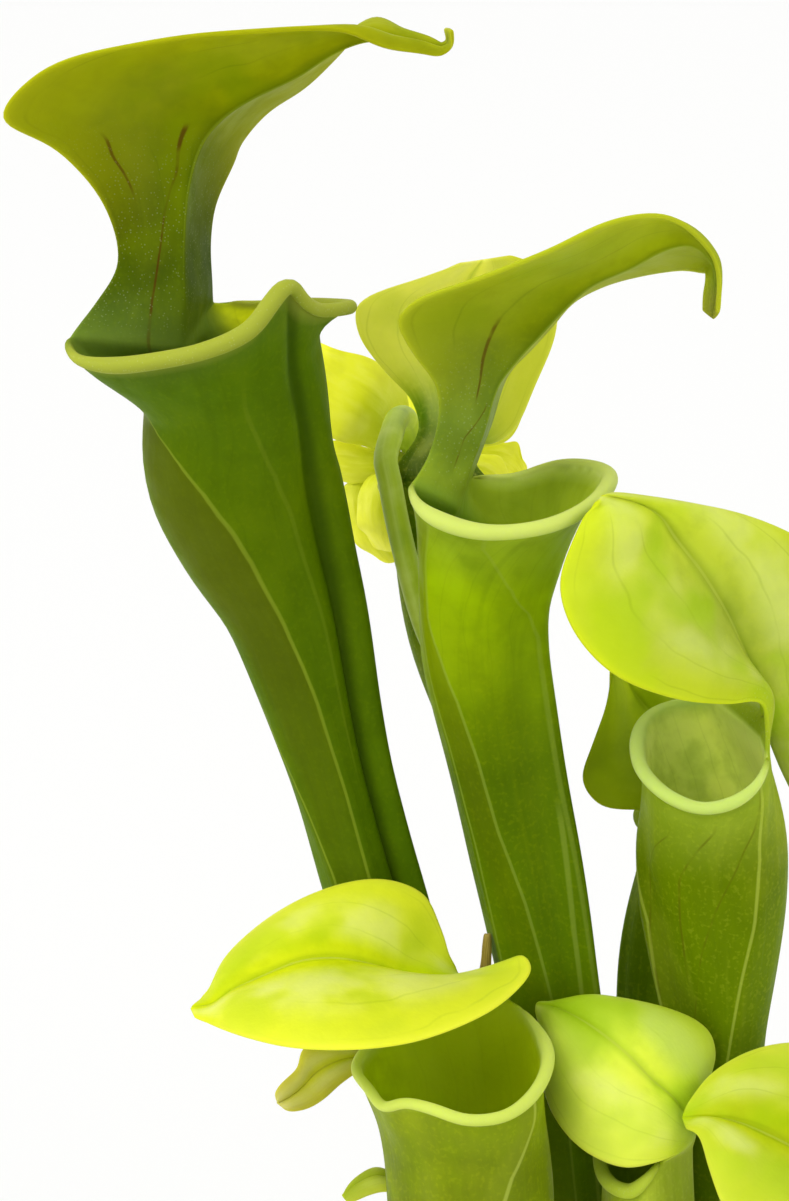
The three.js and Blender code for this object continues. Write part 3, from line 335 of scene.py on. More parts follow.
def leafMaterial(leaf):
    material, tree, shader = newMaterial(leaf["node"] + "Skin")
    fade, times = partial(fadeBetween, tree), partial(product, tree)
    light, dark = leaf["lightTone"], leaf["darkTone"]
    u, v = uvPlaces(tree)
    place = put(tree, "ShaderNodeTexCoord").outputs["Object"]

    def mark(name, output="Fac"):
        return put(tree, "ShaderNodeAttribute", attribute_name=name).outputs[output]

    def pattern(name, detail=3):
        return noisePattern(tree, place, leafSkin[name], detail)

    def tint(tone, *amounts):
        return mixColour(tree, times(*amounts), colour, rgba(tone))

    ramp = put(tree, "ShaderNodeValToRGB", {0: calc(tree, "MULTIPLY", v, 0.5)})
    stops = ramp.color_ramp.elements
    for i, (height, tone) in enumerate(leaf["tones"]):
        stop = stops[i] if i < 2 else stops.new(1)
        stop.position = height / 2
        stop.color = rgba(tone)
    colour = ramp.outputs[0]

    # The whole leaf: broad patches, streaks along it and fine mottling
    broad, mottle = pattern("broad"), pattern("mottle")
    wander, grain = pattern("wander", 2), pattern("grain", 1)
    streak = streakPattern(tree, u, v, *leafSkin["streaks"])
    calm = fade(v, 0.85, 1.1, 0.4, 1)  # the tube is plainer than the lid
    colour = tint(light, fade(broad, 0.48, 0.68, 0, 0.3), calm)
    colour = tint(dark, fade(broad, 0.5, 0.32, 0, 0.25))
    colour = tint(light, fade(streak, 0.5, 0.8, 0, 0.2), calm)
    colour = tint(dark, fade(streak, 0.5, 0.2, 0, 0.2))
    colour = tint(dark, fade(mottle, 0.4, 0.7, 0, 0.18))
    colour = tint(light, fade(grain, 0.5, 0.75, 0, 0.12))

    # The inside of the tube, painted paler as a stand-in for light passing through its thin wall, and palest
    # near the neck at its back
    normal = put(tree, "ShaderNodeNewGeometry").outputs["Normal"]
    feeds = {0: normal, 1: mark("outward", "Vector")}
    facing = put(tree, "ShaderNodeVectorMath", feeds, operation="DOT_PRODUCT").outputs["Value"]
    inside = times(fade(facing, 0.3, -0.3), fade(v, 1.03, 0.98), leafSkin["paintedInsideAmount"])
    insideLit = mixColour(tree, fade(mottle, 0.35, 0.7, 0, 0.35), rgba(leaf["paintedInsideLight"]), colour)
    reach = leaf["bowlReach"]
    nearBack = calc(tree, "MAXIMUM", fade(u, reach, reach - 0.1), fade(u, 0.8, 0.9))
    insideLit = mixColour(tree, nearBack, insideLit, rgba(leaf.get("paintedBowlLight", leaf["paintedInsideLight"])))
    colour = mixColour(tree, inside, colour, insideLit)

    # Lid: yellower towards its margin, with painted sheen, a midrib in painted shade with a painted highlight
    # on its crest, and fanning veins
    lidSide, patch = mark("lidSide"), pattern("patch", 2)
    away, onLid = calc(tree, "ABSOLUTE", lidSide), fade(v, 1.02, 1.3)
    marginal = fade(v, leaf["edgeFrom"], leaf["edgeFrom"] + leafSkin["marginWidth"])
    middle = times(fade(away, 0.12, 0.4), fade(away, 0.85, 0.5), onLid)
    # painted sheen: pale patches in the middle of each half stand in for soft reflections
    colour = tint(leaf["paintedSheenTone"], fade(patch, 0.4, 0.62, 0.1, leaf["sheen"]), middle)
    colour = tint(leaf["deepTone"], fade(patch, 0.52, 0.34, 0, 0.6), onLid)
    colour = tint(leaf["edgeTone"], calc(tree, "POWER", away, 2.2), marginal, 0.7)
    for side, tone, amount in leaf["paintedLightHalves"]:  # painted light and shade: one half of the lid lighter, the other deeper, as light falls on them
        colour = tint(tone, marginal, fade(lidSide, 0.03 * side, 0.4 * side, 0, amount))
    if "farShadeTone" in leaf:  # painted shade: the half that turns away is darker low down
        low = times(fade(v, 1.45, 1.15, 0, 0.3), fade(v, 1.0, 1.03))
        colour = tint(leaf["farShadeTone"], fade(lidSide, -0.02, -0.12), low)
    # painted shade in the midrib's groove, then a painted highlight along its crest
    colour = tint(dark, fade(away, 0.09, 0.01), onLid, leafSkin["midribShadeAmount"])
    colour = tint(leaf["crestHighlightTone"], fade(away, 0.018, 0.008), onLid, 0.4)
    fan = thinLines(tree, away, wander, *leafSkin["fanLines"])
    colour = tint(dark, fan, onLid, fade(broad, 0.4, 0.62, 0, leaf["fan"]))
    nerve = thinLines(tree, u, wander, *leafSkin["nerves"])
    colour = tint(dark, nerve, fade(v, 1.05, 0.95, 0, 0.1))

    # Ridges with painted shade on their far facets and painted highlights on their crests, folds in painted
    # shade, and dark veins
    for line in leaf["ridges"]:
        if "shadedFacet" in line:  # painted shade: the flat side beside a ridge that turns away from the light is darker
            width, amount, tone = line["shadedFacet"]
            colour = tint(tone, shadedFacetMask(tree, u, v, line, width), fade(v, 0.6, 0.85, 0.35, 1), amount)
        # painted highlight: a pale line along each ridge's crest
        crest = lineMask(tree, u, v, line, leafSkin["crestWidth"])
        colour = tint(leaf["crestHighlightTone"], crest, line.get("crest", 0.4))
    for line in leaf["valleys"]:  # a deep fold lies in shade
        fold = lineMask(tree, u, v, line, leafSkin["valleyWidth"])
        colour = tint(line["tone"], fold, leafSkin["valleyAmount"])
    sway, broken = leafSkin["veinSway"], fade(pattern("breaks", 2), 0.38, 0.56, 0.25, 1)
    wavyU = calc(tree, "MULTIPLY_ADD", wander, sway, calc(tree, "SUBTRACT", u, sway / 2))
    for line in leaf["veins"]:
        vein = lineMask(tree, wavyU, v, line, line.get("width", leafSkin["veinWidth"]))
        amount = line.get("amount", leafSkin["veinAmount"])
        colour = tint(line.get("tone", leafSkin["veinTone"]), vein, amount, broken)

    # The rolled rim, the lid's edge and the pale specks of the neck
    colour = tint(leaf["rimTone"], mark("rimness"), leafSkin["rimAmount"])
    colour = tint(leaf["edgeTone"], fade(mark("edge"), 0.93, 1.0), marginal, 0.6)
    dots = put(tree, "ShaderNodeTexVoronoi", {"Vector": place, "Scale": leafSkin["specks"]})
    specks = fade(dots.outputs["Distance"], 0.28, 0.1)
    onNeck = times(fade(v, 0.99, 1.05), fade(v, 1.4, 1.15))
    colour = tint(leafSkin["speckTone"], specks, onNeck, leafSkin["speckAmount"])
    tree.links.new(colour, shader.inputs["Base Color"])

    tree.links.new(fade(mottle, 0.3, 0.7, *leafSkin["roughness"]), shader.inputs["Roughness"])
    shader.inputs["Specular IOR Level"].default_value = leaf["gloss"]
    for setting, value in leafSkin["throughLight"].items():
        shader.inputs["Subsurface " + setting].default_value = value
    height = calc(tree, "MULTIPLY_ADD", streak, 0.5, calc(tree, "MULTIPLY", mottle, 0.3))
    height = calc(tree, "MULTIPLY_ADD", grain, 0.12, height)
    roughen(tree, shader, height, leafSkin["reliefStrength"], leafSkin["reliefDepth"])
    return material


# One pitcher leaf: tube from its foot, rolled rim, neck and lid
leafBuild = {
    "finer": 3, "lidFiner": 5, "crowding": 1.6, "wingSpread": 0.032, "thickness": 1.0, "rollTurns": 9,
    "rollEnd": -0.62, "neckCrease": 0.8, "lidCrease": 0.7, "grooveWidth": 0.13, "midribSharpness": 0.75,
    "swell": ((28, 0.5), (75, 0.18)), "stillBelow": 25, "stillFade": 30,
}
leafDefaults = {
    "neckHalf": 3, "sheen": 0.2, "gloss": 0.03, "fan": 0.2, "edgeFrom": 1.12, "bowlReach": 0.2,
    "paintedLightHalves": (),
    "ridges": (), "valleys": (), "veins": (), "rollSlimness": ((0, 1), (1, 1)), "wingAt": 0.5, "arch": 1.3,
    "groove": 1.1, "swellFrom": 0, "uneven": 1,
}


def cusp(off, spread):  # a crest with hollow sides, 1 on the line and 0 beyond the spread
    return np.clip(1 - np.abs(off) / spread, 0, 1) ** 2


def lineAt(line, share):
    return np.interp(share, *zip(*sorted(line["path"])))


def mouthEdge(leaf, n, neck):  # n points round the mouth, with the neck's share of them at its back
    mouth = leaf["mouth"]
    outline = [mouth["back"], mouth["right"], *mouth["rim"], mouth["left"]]
    ring = curveThrough(outline, closed=True)
    step = 1 / len(outline)
    free = np.linspace(step, 1 - step, 401)
    run = np.concatenate([[0], np.cumsum(np.linalg.norm(np.diff(ring(free), axis=0), axis=1))])
    j = np.arange(n)
    t = np.interp(run[-1] * (j - neck) / (n - 2 * neck), run, free)
    t = np.where(j <= neck, step * j / neck, np.where(j > n - neck, 1 - step * (n - j) / neck, t))
    edge, tangent = ring(t), headingOf(ring, t)
    back = np.array(mouth["back"], float)
    for k in range(neck + 1):  # the back of the mouth is folded along the midrib
        for column, side in ((k, "right"), (-k, "left")):
            straight = back + (np.array(mouth[side]) - back) * k / neck
            edge[column] += (straight - edge[column]) * leafBuild["neckCrease"]
    return edge, tangent


def tubeSection(leaf, spine, radii, facing, around, share):
    at = evenly(spine, share)
    middle, along, size = spine(at)[0], headingOf(spine, at)[0], radii(at)[0]
    front = unit(facing - along * facing.dot(along))
    side = np.cross(front, along)
    angle = 2 * math.pi * around
    outward = side * np.sin(angle) * size[0] - front * np.cos(angle) * size[1]
    keel = np.exp(-((around - leaf["wingAt"]) / leafBuild["wingSpread"]) ** 2)
    relief = leaf["wing"] * smooth((share - 0.12) * 5) * smooth((1 - share) * 6) * keel
    for line in (*leaf["ridges"], *leaf["valleys"]):
        low, high = min(line["path"])[0], max(line["path"])[0]
        within = smooth((share - low) / 0.06) * smooth((high - share) / line.get("fadeOut", 0.03))
        relief = relief + line["height"] * within * cusp(around - lineAt(line, share), line["spread"])
    return middle + outward + unit(outward) * relief


def lidGrid(leaf, edge, neck):  # columns run up from the mouth's back through the lid's rows
    s = np.arange(-neck, neck + 1) / neck
    rows = np.array(leaf["lid"], float)
    right, midrib, left = rows[:, 0], rows[:, 1], rows[:, 2]
    crease = np.linspace(leafBuild["neckCrease"], leafBuild["lidCrease"], len(rows))[:, None]
    t = np.linspace(0, 1, len(rows) * (leafBuild["finer"] + 1) + 1)
    columns = []
    for i, place in enumerate(s):
        sides = right * (place ** 2 + place) / 2 + left * (place ** 2 - place) / 2
        rounded = sides + midrib * (1 - place ** 2)
        folded = midrib + ((right if place > 0 else left) - midrib) * abs(place)
        across = rounded + (folded - rounded) * crease
        columns.append(curveThrough([edge[(i - neck) % len(edge)], *across])(t))
    lid = np.array(columns).transpose(1, 0, 2)
    outside = unit(np.cross(np.gradient(lid, axis=1), np.gradient(lid, axis=0)))
    within = smooth((t - leaf["swellFrom"]) * 2.5) * smooth((1 - t) * 4)
    away = np.abs(s)[None, :]
    arch = leaf["arch"] * np.sin(math.pi * away)
    groove = leaf["groove"] * (1 - np.exp(-away / leafBuild["grooveWidth"])) * (1 - away ** 3)
    return lid + outside * (within[:, None] * (arch + groove))[:, :, None], s


def leafForm(leaf):
    finer, neck = leafBuild["finer"], leaf["neckHalf"] * leafBuild["lidFiner"]
    n = (leaf["columns"] - 2 * leaf["neckHalf"]) * finer + 2 * neck
    edge, tangent = mouthEdge(leaf, n, neck)
    centre = edge.mean(0)
    up = unit(np.cross(edge - centre, np.roll(edge, -1, axis=0) - centre).sum(0))
    gaps = np.linalg.norm(np.roll(edge, -1, axis=0) - edge, axis=1)
    turn = np.concatenate([[0], np.cumsum(gaps)[:-1]]) / gaps.sum()

    fromNeck = np.minimum(np.arange(n) - neck, n - neck - np.arange(n)) / finer
    slimness = np.interp(turn, *zip(*leaf["rollSlimness"]))
    rollRadius = leaf["roll"] * smooth(fromNeck / 2.6) * slimness
    out = unit(np.cross(tangent, up))
    rise = unit(np.cross(out, tangent))

    def rollAt(angle):
        return edge + rollRadius[:, None] * (out * math.cos(angle) + rise * math.sin(angle))

    spine = curveThrough([s[:3] for s in leaf["spine"]])
    radii = curveThrough([(s[3], s[4], 0) for s in leaf["spine"]])
    facing = centre - np.array(leaf["mouth"].get("heel", leaf["mouth"]["back"]), float)
    facing[2] = 0
    section = partial(tubeSection, leaf, spine, radii, facing, turn[:, None])
    rows = leaf["rings"] * finer
    shares = 1 - (1 - np.arange(rows + 1) / rows) ** leafBuild["crowding"]
    blendAround = leaf.get("blendAround", ((0, leaf["blendFrom"]), (1, leaf["blendFrom"])))
    start = np.interp(turn[:, None], *zip(*blendAround))
    toRoll = rollAt(math.pi) - section(1.0)
    tube = [section(share) + toRoll * smooth((share - start) / (1 - start)) ** 1.4 for share in shares]
    lid, across = lidGrid(leaf, edge, neck)
    return np.array(tube), shares, turn, rollAt, lid, across, neck


def addTubeAndRoll(bm, tube, shares, turn, rollAt, neck):
    n = tube.shape[1]
    closed = np.concatenate([tube, tube[:, :1]], axis=1)
    u = np.tile(np.append(turn, 1.0), (len(shares), 1))
    v = np.tile(shares[:, None], (1, n + 1))
    onRim = smooth((np.minimum(np.arange(n + 1) - neck, n - neck - np.arange(n + 1)) / 3))
    rimness = np.tile(onRim, (len(shares), 1)) * smooth((v - 0.992) / 0.008) * 0.6
    addSheet(bm, closed, u, v, {"rimness": rimness})
    angles = np.linspace(math.pi, leafBuild["rollEnd"] * math.pi, leafBuild["rollTurns"] + 1)
    roll = np.array([rollAt(a)[neck:n - neck + 1] for a in angles])
    rollU = np.tile(turn[neck:n - neck + 1], (len(angles), 1))
    rollV = np.tile(1 + 0.1 * np.linspace(0, 1, len(angles))[:, None], (1, roll.shape[1]))
    # painted shade: the roll's underside takes less of the pale rim tone
    underShade = smooth(np.linspace(-1.2, 1.0, len(angles)))[:, None]
    rollRim = np.tile(onRim[neck:n - neck + 1], (len(angles), 1)) * (1 - 0.55 * underShade)
    addSheet(bm, roll, rollU, rollV, {"rimness": rollRim})


def addLid(bm, lid, across, share):
    neck = len(across) // 2
    for half in (slice(0, neck + 1), slice(neck, 2 * neck + 1)):
        part = across[half]
        u = np.tile(part * share + (1 if part[0] < 0 else 0), (len(lid), 1))
        v = np.tile(np.linspace(1, 2, len(lid))[:, None], (1, len(part)))
        side = np.tile(part, (len(lid), 1))
        edge = np.abs(side) * smooth((v - 1.02) / 0.05)
        midline = (side == 0) * smooth((v - 1.03) / 0.02)
        addSheet(bm, lid[:, half], u, v, {"edge": edge, "lidSide": side, "midline": midline})


def closeFoot(bm, footTop):
    top = footTop * mm + 1e-5
    rim = [edge for edge in bm.edges if edge.is_boundary and max(vert.co.z for vert in edge.verts) < top]
    bmesh.ops.holes_fill(bm, edges=rim, sides=0)


def sharpenMidrib(bm):
    sharpness, midline = bm.edges.layers.float.new("crease_edge"), bm.verts.layers.float["midline"]
    for line in bm.edges:
        if min(vert[midline] for vert in line.verts) > 0.9:
            line[sharpness] = leafBuild["midribSharpness"]


def shapeRelief(bm, leaf):  # gentle unevenness, as living tissue has
    bm.normal_update()
    moves = []
    for vert in bm.verts:
        size = sum(noise.noise(vert.co * scale) * share for scale, share in leafBuild["swell"])
        calm = min(1, max(0, (vert.co.z / mm - leafBuild["stillBelow"]) / leafBuild["stillFade"]))
        moves.append(vert.normal * (size * calm * leaf["uneven"] * mm))
    for vert, move in zip(bm.verts, moves):
        vert.co += move


def markOutward(bm):  # the way out of the tube, by which the material tells its inside
    outward = bm.verts.layers.float_vector.new("outward")
    bm.normal_update()
    for vert in bm.verts:
        vert[outward] = vert.normal


def makeLeaf(ownValues):
    leaf = {**leafDefaults, **ownValues}
    tube, shares, turn, rollAt, lid, across, neck = leafForm(leaf)
    bm = newSheetMesh(("rimness", "edge", "lidSide", "midline"))
    addTubeAndRoll(bm, tube, shares, turn, rollAt, neck)
    addLid(bm, lid, across, turn[neck])
    mergeDoubles(bm)
    closeFoot(bm, tube[0, :, 2].max())
    sharpenMidrib(bm)
    shapeRelief(bm, leaf)
    markOutward(bm)
    piece = finishPiece(bm, leaf["node"] + "Leaf", leaf["node"], leaf["slot"], leafMaterial(leaf))
    thicken(piece, leafBuild["thickness"])


# The pitcher leaves, from the photograph. A spine's rows are x, y, z, half width and half depth,
# and a lid's rows are its right margin, its midrib and its left margin
tallPitcher = {
    "node": "tall_pitcher", "slot": "tall_leaf",
    "tones": [(0, "8a7434"), (0.1, "6f8004"), (0.5, "456500"), (0.9, "5b7500"), (0.99, "527004"),
              (1.0, "647c2a"), (1.1, "445807"), (1.2, "526002"), (1.35, "8c9600"), (1.6, "a0a600"),
              (1.9, "98a010"), (2.0, "a9ac40")],
    "lightTone": "7a9003", "darkTone": "3d5600", "rimTone": "acb441", "edgeTone": "a5a810",
    "paintedInsideLight": "fcff0a", "paintedBowlLight": "748c34", "bowlReach": 0.42, "paintedSheenTone": "a9b43c",
    "deepTone": "7c9000", "farShadeTone": "3c5206", "crestHighlightTone": "8fa02a", "sheen": 0.12, "arch": 0.8,
    "ridges": [
        {"height": 1.5, "spread": 0.085, "shadedFacet": (0.2, 0.45, "54500a"), "crest": 0.5,
         "path": [(0.955, 0.18), (0.945, 0.211), (0.929, 0.274), (0.912, 0.318), (0.887, 0.345),
                  (0.859, 0.354), (0.827, 0.354), (0.794, 0.358), (0.752, 0.38), (0.689, 0.39),
                  (0.632, 0.392), (0.2, 0.39)]},
        {"height": 0.5, "spread": 0.05, "crest": 0.15,
         "path": [(0.965, 0.385), (0.949, 0.4), (0.922, 0.43), (0.886, 0.446), (0.7, 0.447)]},
        {"height": 0.9, "spread": 0.06, "crest": 0.45,
         "path": [(0.75, 0.165), (0.721, 0.192), (0.68, 0.232), (0.636, 0.272), (0.25, 0.29)]},
    ],
    "valleys": [
        {"height": -2.6, "spread": 0.04, "fadeOut": 0.01, "tone": "2a4202",
         "path": [(1.0, 0.491), (0.981, 0.497), (0.958, 0.499), (0.932, 0.508), (0.873, 0.506),
                  (0.7, 0.5), (0.5, 0.5)]},
    ],
    "veins": [
        {"path": [(1.332, 0.016), (1.237, 0.019), (1.191, 0.038), (1.139, 0.048), (1.068, 0.047),
                  (1.0, 0.042)]},
        {"path": [(1.3, 0.079), (1.27, 0.085), (1.22, 0.084)], "width": 0.0025, "amount": 0.7},
    ],
    "blendAround": [(0, 0.955), (0.42, 0.955), (0.5, 0.975), (0.62, 0.98), (0.75, 0.955), (1, 0.955)],
    "wingAt": 0.55,
    "rollSlimness": [(0, 0.8), (0.14, 0.8), (0.22, 1), (0.4, 1), (0.5, 0.7), (0.6, 0.8), (1, 0.8)],
    "columns": 22, "rings": 14, "blendFrom": 0.955,
    "roll": 1.2, "wing": 4,
    "spine": [
        (-12, 8, 12.3, 5, 5), (-12, 8, 24, 5, 5), (-16, 9, 70, 5, 5), (-28, 9, 140, 6, 6),
        (-46.8, 10, 208, 8.8, 8.6), (-51.5, 10, 226, 8.6, 8.6), (-57.2, 10, 247, 10.3, 10.3),
        (-62.5, 10, 268, 13.2, 13.2), (-67.5, 9, 281, 16.7, 16.4), (-72, 6, 297, 19.2, 18.4),
        (-72.4, 2, 311, 17.9, 17.9), (-76, -3, 325, 19.5, 19.5),
    ],
    "mouth": {
        "back": (-82.5, -3, 321.5), "heel": (-91.5, 8, 321.5), "right": (-103.8, -8.5, 324),
        "left": (-78, 22, 327),
        "rim": [
            (-102.3, -14.5, 320.6), (-95.5, -19.5, 319.8), (-85, -25, 321.5), (-75.5, -28, 324),
            (-68, -27, 327.5), (-64, -25, 332.5), (-61, -22, 335.5), (-58.5, -18, 332),
            (-55.5, -12, 329.5), (-49.5, -2, 329), (-56, 12, 328), (-68, 20, 327),
        ],
    },
    "lid": [
        ((-99.5, 0, 329.5), (-82, -4, 330.5), (-77.5, 13, 332.5)),
        ((-95, 0, 337.5), (-82, -4, 340.5), (-77.5, 12, 340.5)),
        ((-97.5, -2, 349), (-81, -4, 352), (-76.5, 13, 347.5)),
        ((-105.5, -8, 359.5), (-78.5, -3, 360.5), (-73, 16, 355.5)),
        ((-115, -16, 366), (-75, -4, 365), (-71.5, 20, 359.5)),
        ((-106, -22, 375.5), (-68.5, -6, 369.5), (-66.5, 21, 365.5)),
        ((-86, -24, 380.5), (-59, -8, 374), (-59, 18, 370.5)),
        ((-65, -21, 382.5), (-52, -9, 378.5), (-52, 12, 377)),
        ((-51.5, -16, 382.5), (-45.5, -8, 380.5), (-45, 8, 384)),
        ((-43, -12, 379), (-41, -6, 379.5), (-39.5, 3, 381.5)),
        ((-36, -9, 377.8), (-35.5, -7, 378.6), (-34.5, -4, 380)),
        ((-32.2, -7.6, 377.4), (-32.2, -6.3, 378.2), (-32.2, -5, 379)),
        ((-30, -7, 379), (-30.4, -6, 379.6), (-30.8, -5, 380.2)),
        ((-30.2, -6.7, 382.3), (-30.8, -6, 382.6), (-31.4, -5.3, 382.6)),
    ],
}

middlePitcher = {
    "node": "middle_pitcher", "slot": "middle_leaf",
    "tones": [(0, "8a7434"), (0.1, "6f8008"), (0.5, "658400"), (0.8, "546e00"), (0.95, "9dba00"),
              (1.0, "94aa2c"), (1.15, "79922d"), (1.4, "7b8a00"), (1.75, "9ea904"), (1.9, "8f9c30"),
              (2.0, "8e833e")],
    "lightTone": "a3b30b", "darkTone": "4d6500", "rimTone": "d4e474", "edgeTone": "b0b824",
    "paintedInsideLight": "adc02c", "paintedBowlLight": "8fae3c", "paintedSheenTone": "b0ba48", "deepTone": "80960a",
    "crestHighlightTone": "93a63a", "sheen": 0.12, "arch": 0.8, "fan": 0.22,
    "ridges": [
        {"height": 1.2, "spread": 0.08, "shadedFacet": (0.12, 0.4, "5c6404"),
         "path": [(0.98, 0.155), (0.944, 0.185), (0.912, 0.196), (0.888, 0.235), (0.86, 0.266),
                  (0.814, 0.29), (0.759, 0.304), (0.704, 0.337), (0.623, 0.364), (0.2, 0.37)]},
        {"height": 1.2, "spread": 0.08, "shadedFacet": (0.1, 0.2, "64800a"), "crest": 0.3,
         "path": [(0.99, 0.25), (0.977, 0.271), (0.954, 0.38), (0.928, 0.451), (0.905, 0.478),
                  (0.866, 0.483), (0.5, 0.49)]},
        {"height": 0.5, "spread": 0.05,
         "path": [(0.96, 0.1), (0.949, 0.119), (0.897, 0.169), (0.829, 0.191), (0.744, 0.209),
                  (0.656, 0.205), (0.3, 0.2)]},
        {"height": 0.6, "spread": 0.05,
         "path": [(0.76, 0.476), (0.727, 0.472), (0.674, 0.466), (0.617, 0.463), (0.3, 0.46)]},
    ],
    "veins": [
        {"path": [(1.4, 0.025), (1.355, 0.025), (1.252, 0.024),
                  (1.205, 0.025)], "width": 0.0018, "amount": 0.7},
        {"path": [(1.191, 0.007), (1.129, 0.028), (1.073, 0.026)], "width": 0.0018, "amount": 0.6},
    ],
    "columns": 22, "rings": 14, "blendFrom": 0.94,
    "roll": 1.35, "wing": 4,
    "spine": [
        (8, 4, 12.3, 5, 5), (8, 4, 24, 5, 5), (4, 4, 70, 5.5, 5.5), (-4, 3, 140, 7, 7),
        (-9.5, 3, 185, 8.4, 8.4), (-15.5, 3, 217, 9.9, 9.8), (-20, 3, 238.5, 10.6, 10.5),
        (-23.5, 2, 260, 11.8, 11.8), (-23, 1, 272, 12.8, 12.8), (-21.5, -1, 281.5, 14.5, 14.5),
        (-18, -1, 291, 18.5, 18),
    ],
    "mouth": {
        "back": (-28.5, -6, 291), "heel": (-32, 5, 293.5), "right": (-37.5, -10, 295.5),
        "left": (-25.5, 20, 291.5),
        "rim": [
            (-37, -16, 293), (-34, -21, 291), (-27.5, -24, 289), (-21, -25, 288.5),
            (-11.5, -23, 289.5), (-3, -15, 292), (1.5, -3, 295), (-1, 10, 295), (-7, 18, 294),
            (-16, 22, 291),
        ],
    },
    "lid": [
        ((-34.5, -6, 300), (-26, -6, 298.5), (-24, 9, 298)),
        ((-32.5, -6, 307.5), (-23.5, -8, 305.5), (-21.5, 8, 305)),
        ((-33, -7, 314), (-21, -8, 314), (-18.5, 9, 314)),
        ((-37.5, -12, 321), (-17.5, -8, 319), (-13.5, 12, 319)),
        ((-40.5, -17, 328), (-13, -8, 324), (-9, 17, 323)),
        ((-37, -22, 332.5), (-8, -8, 329.5), (-4.5, 22, 327.5)),
        ((-27, -27, 336.5), (-3, -9, 334), (1.5, 24, 330.5)),
        ((-13, -28, 342), (4.5, -10, 337.5), (8.5, 20, 333)),
        ((-0.5, -24, 347.5), (11, -10, 341), (16, 12, 335)),
        ((11, -16, 347.5), (16.5, -8, 341.5), (19.5, 3, 335)),
        ((19.5, -9, 340.5), (20.5, -7, 338), (19.5, -4, 335)),
        ((21.5, -8.5, 336), (21.5, -6.5, 333.5), (19, -4.5, 332)),
        ((21.8, -8, 328.5), (21, -6.5, 327), (19, -5, 328.5)),
    ],
}

rightPitcher = {
    "node": "right_pitcher", "slot": "right_leaf",
    "tones": [(0, "8a7434"), (0.1, "748408"), (0.5, "5a7700"), (0.9, "617800"), (1.0, "98ad2c"),
              (1.15, "a1b222"), (1.5, "adbb41"), (1.9, "d5e432"), (2.0, "d7e532")],
    "lightTone": "c5d034", "darkTone": "738c01", "rimTone": "c8e074", "edgeTone": "cfde20",
    "paintedInsideLight": "f2ff8c", "paintedSheenTone": "dce690", "deepTone": "9cc000", "crestHighlightTone": "c3cf50",
    "sheen": 0.45, "arch": 2.4, "groove": 1.6,
    "ridges": [
        {"height": 1.1, "spread": 0.08,
         "path": [(1.0, 0.857), (0.915, 0.862), (0.855, 0.846), (0.801, 0.816), (0.723, 0.779),
                  (0.3, 0.76)]},
        {"height": 0.8, "spread": 0.07,
         "path": [(0.96, 0.48), (0.912, 0.505), (0.846, 0.53), (0.777, 0.516), (0.3, 0.51)]},
    ],
    "veins": [
        {"width": 0.005, "amount": 0.55, "tone": "5f6008",
         "path": [(0.97, 0.754), (0.931, 0.718), (0.901, 0.679), (0.853, 0.663), (0.8, 0.66)]},
        {"width": 0.004, "amount": 0.5, "tone": "5f6008",
         "path": [(0.954, 0.656), (0.93, 0.607), (0.902, 0.563), (0.835, 0.531), (0.773, 0.519)]},
        {"width": 0.004, "amount": 0.5, "tone": "5f6008",
         "path": [(0.991, 0.852), (0.95, 0.843), (0.912, 0.814), (0.871, 0.76), (0.83, 0.717),
                  (0.76, 0.659)]},
    ],
    "columns": 20, "rings": 12, "blendFrom": 0.9,
    "roll": 0.9, "wing": 4,
    "rollSlimness": [(0, 0.8), (0.15, 0.5), (0.38, 0.4), (0.48, 1), (0.9, 1), (1, 0.8)],
    "spine": [
        (26, 0, 12.3, 5, 5), (26, 0, 24, 5, 5), (26.5, 0, 70, 5, 5), (26.5, -1, 135, 6.5, 6.5),
        (26.9, -2, 178, 7.6, 7.6), (26.4, -2, 192, 10.4, 10.4), (25.5, -2, 208, 13.3, 13),
        (24, -2, 223, 14.5, 14), (21, -3, 239, 14, 14),
    ],
    "mouth": {
        "back": (32.9, -4, 242.6), "heel": (35, -6, 241.5), "right": (25.6, 11, 246),
        "left": (33, -13, 241.1),
        "rim": [
            (22.5, 17, 245.2), (15, 16, 244), (10.5, 10, 243), (8, 0, 241), (8, -8, 238),
            (10, -14, 236), (13.5, -18, 234), (19, -20, 232.5), (25, -20, 233.5), (30, -18, 236.5),
        ],
    },
    "lid": [
        ((28.5, 13.5, 249), (33.3, -5, 246.2), (32.6, -13, 247.2)),
        ((41, 14, 240.5), (33, -6, 251), (31, -15, 252.5)),
        ((50, 13, 212.5), (31, -8, 255.5), (23.5, -20, 253.5)),
        ((54.5, 12, 222.5), (28, -9, 261), (13, -26, 256)),
        ((57, 10, 240.5), (23.5, -11, 270.5), (0.5, -30, 262)),
        ((54, 8, 260), (18.5, -13, 278.5), (-7, -28, 270)),
        ((46, 4, 277.5), (13.5, -14, 285), (-9.5, -25, 278.5)),
        ((32.5, -1, 285.5), (10, -16, 290), (-6.5, -24, 288)),
        ((19, -9, 290.5), (4.5, -18, 293), (-4, -22, 292)),
        ((0.5, -19.5, 295), (-1.5, -21, 295), (-2.5, -22.5, 294)),
    ],
}

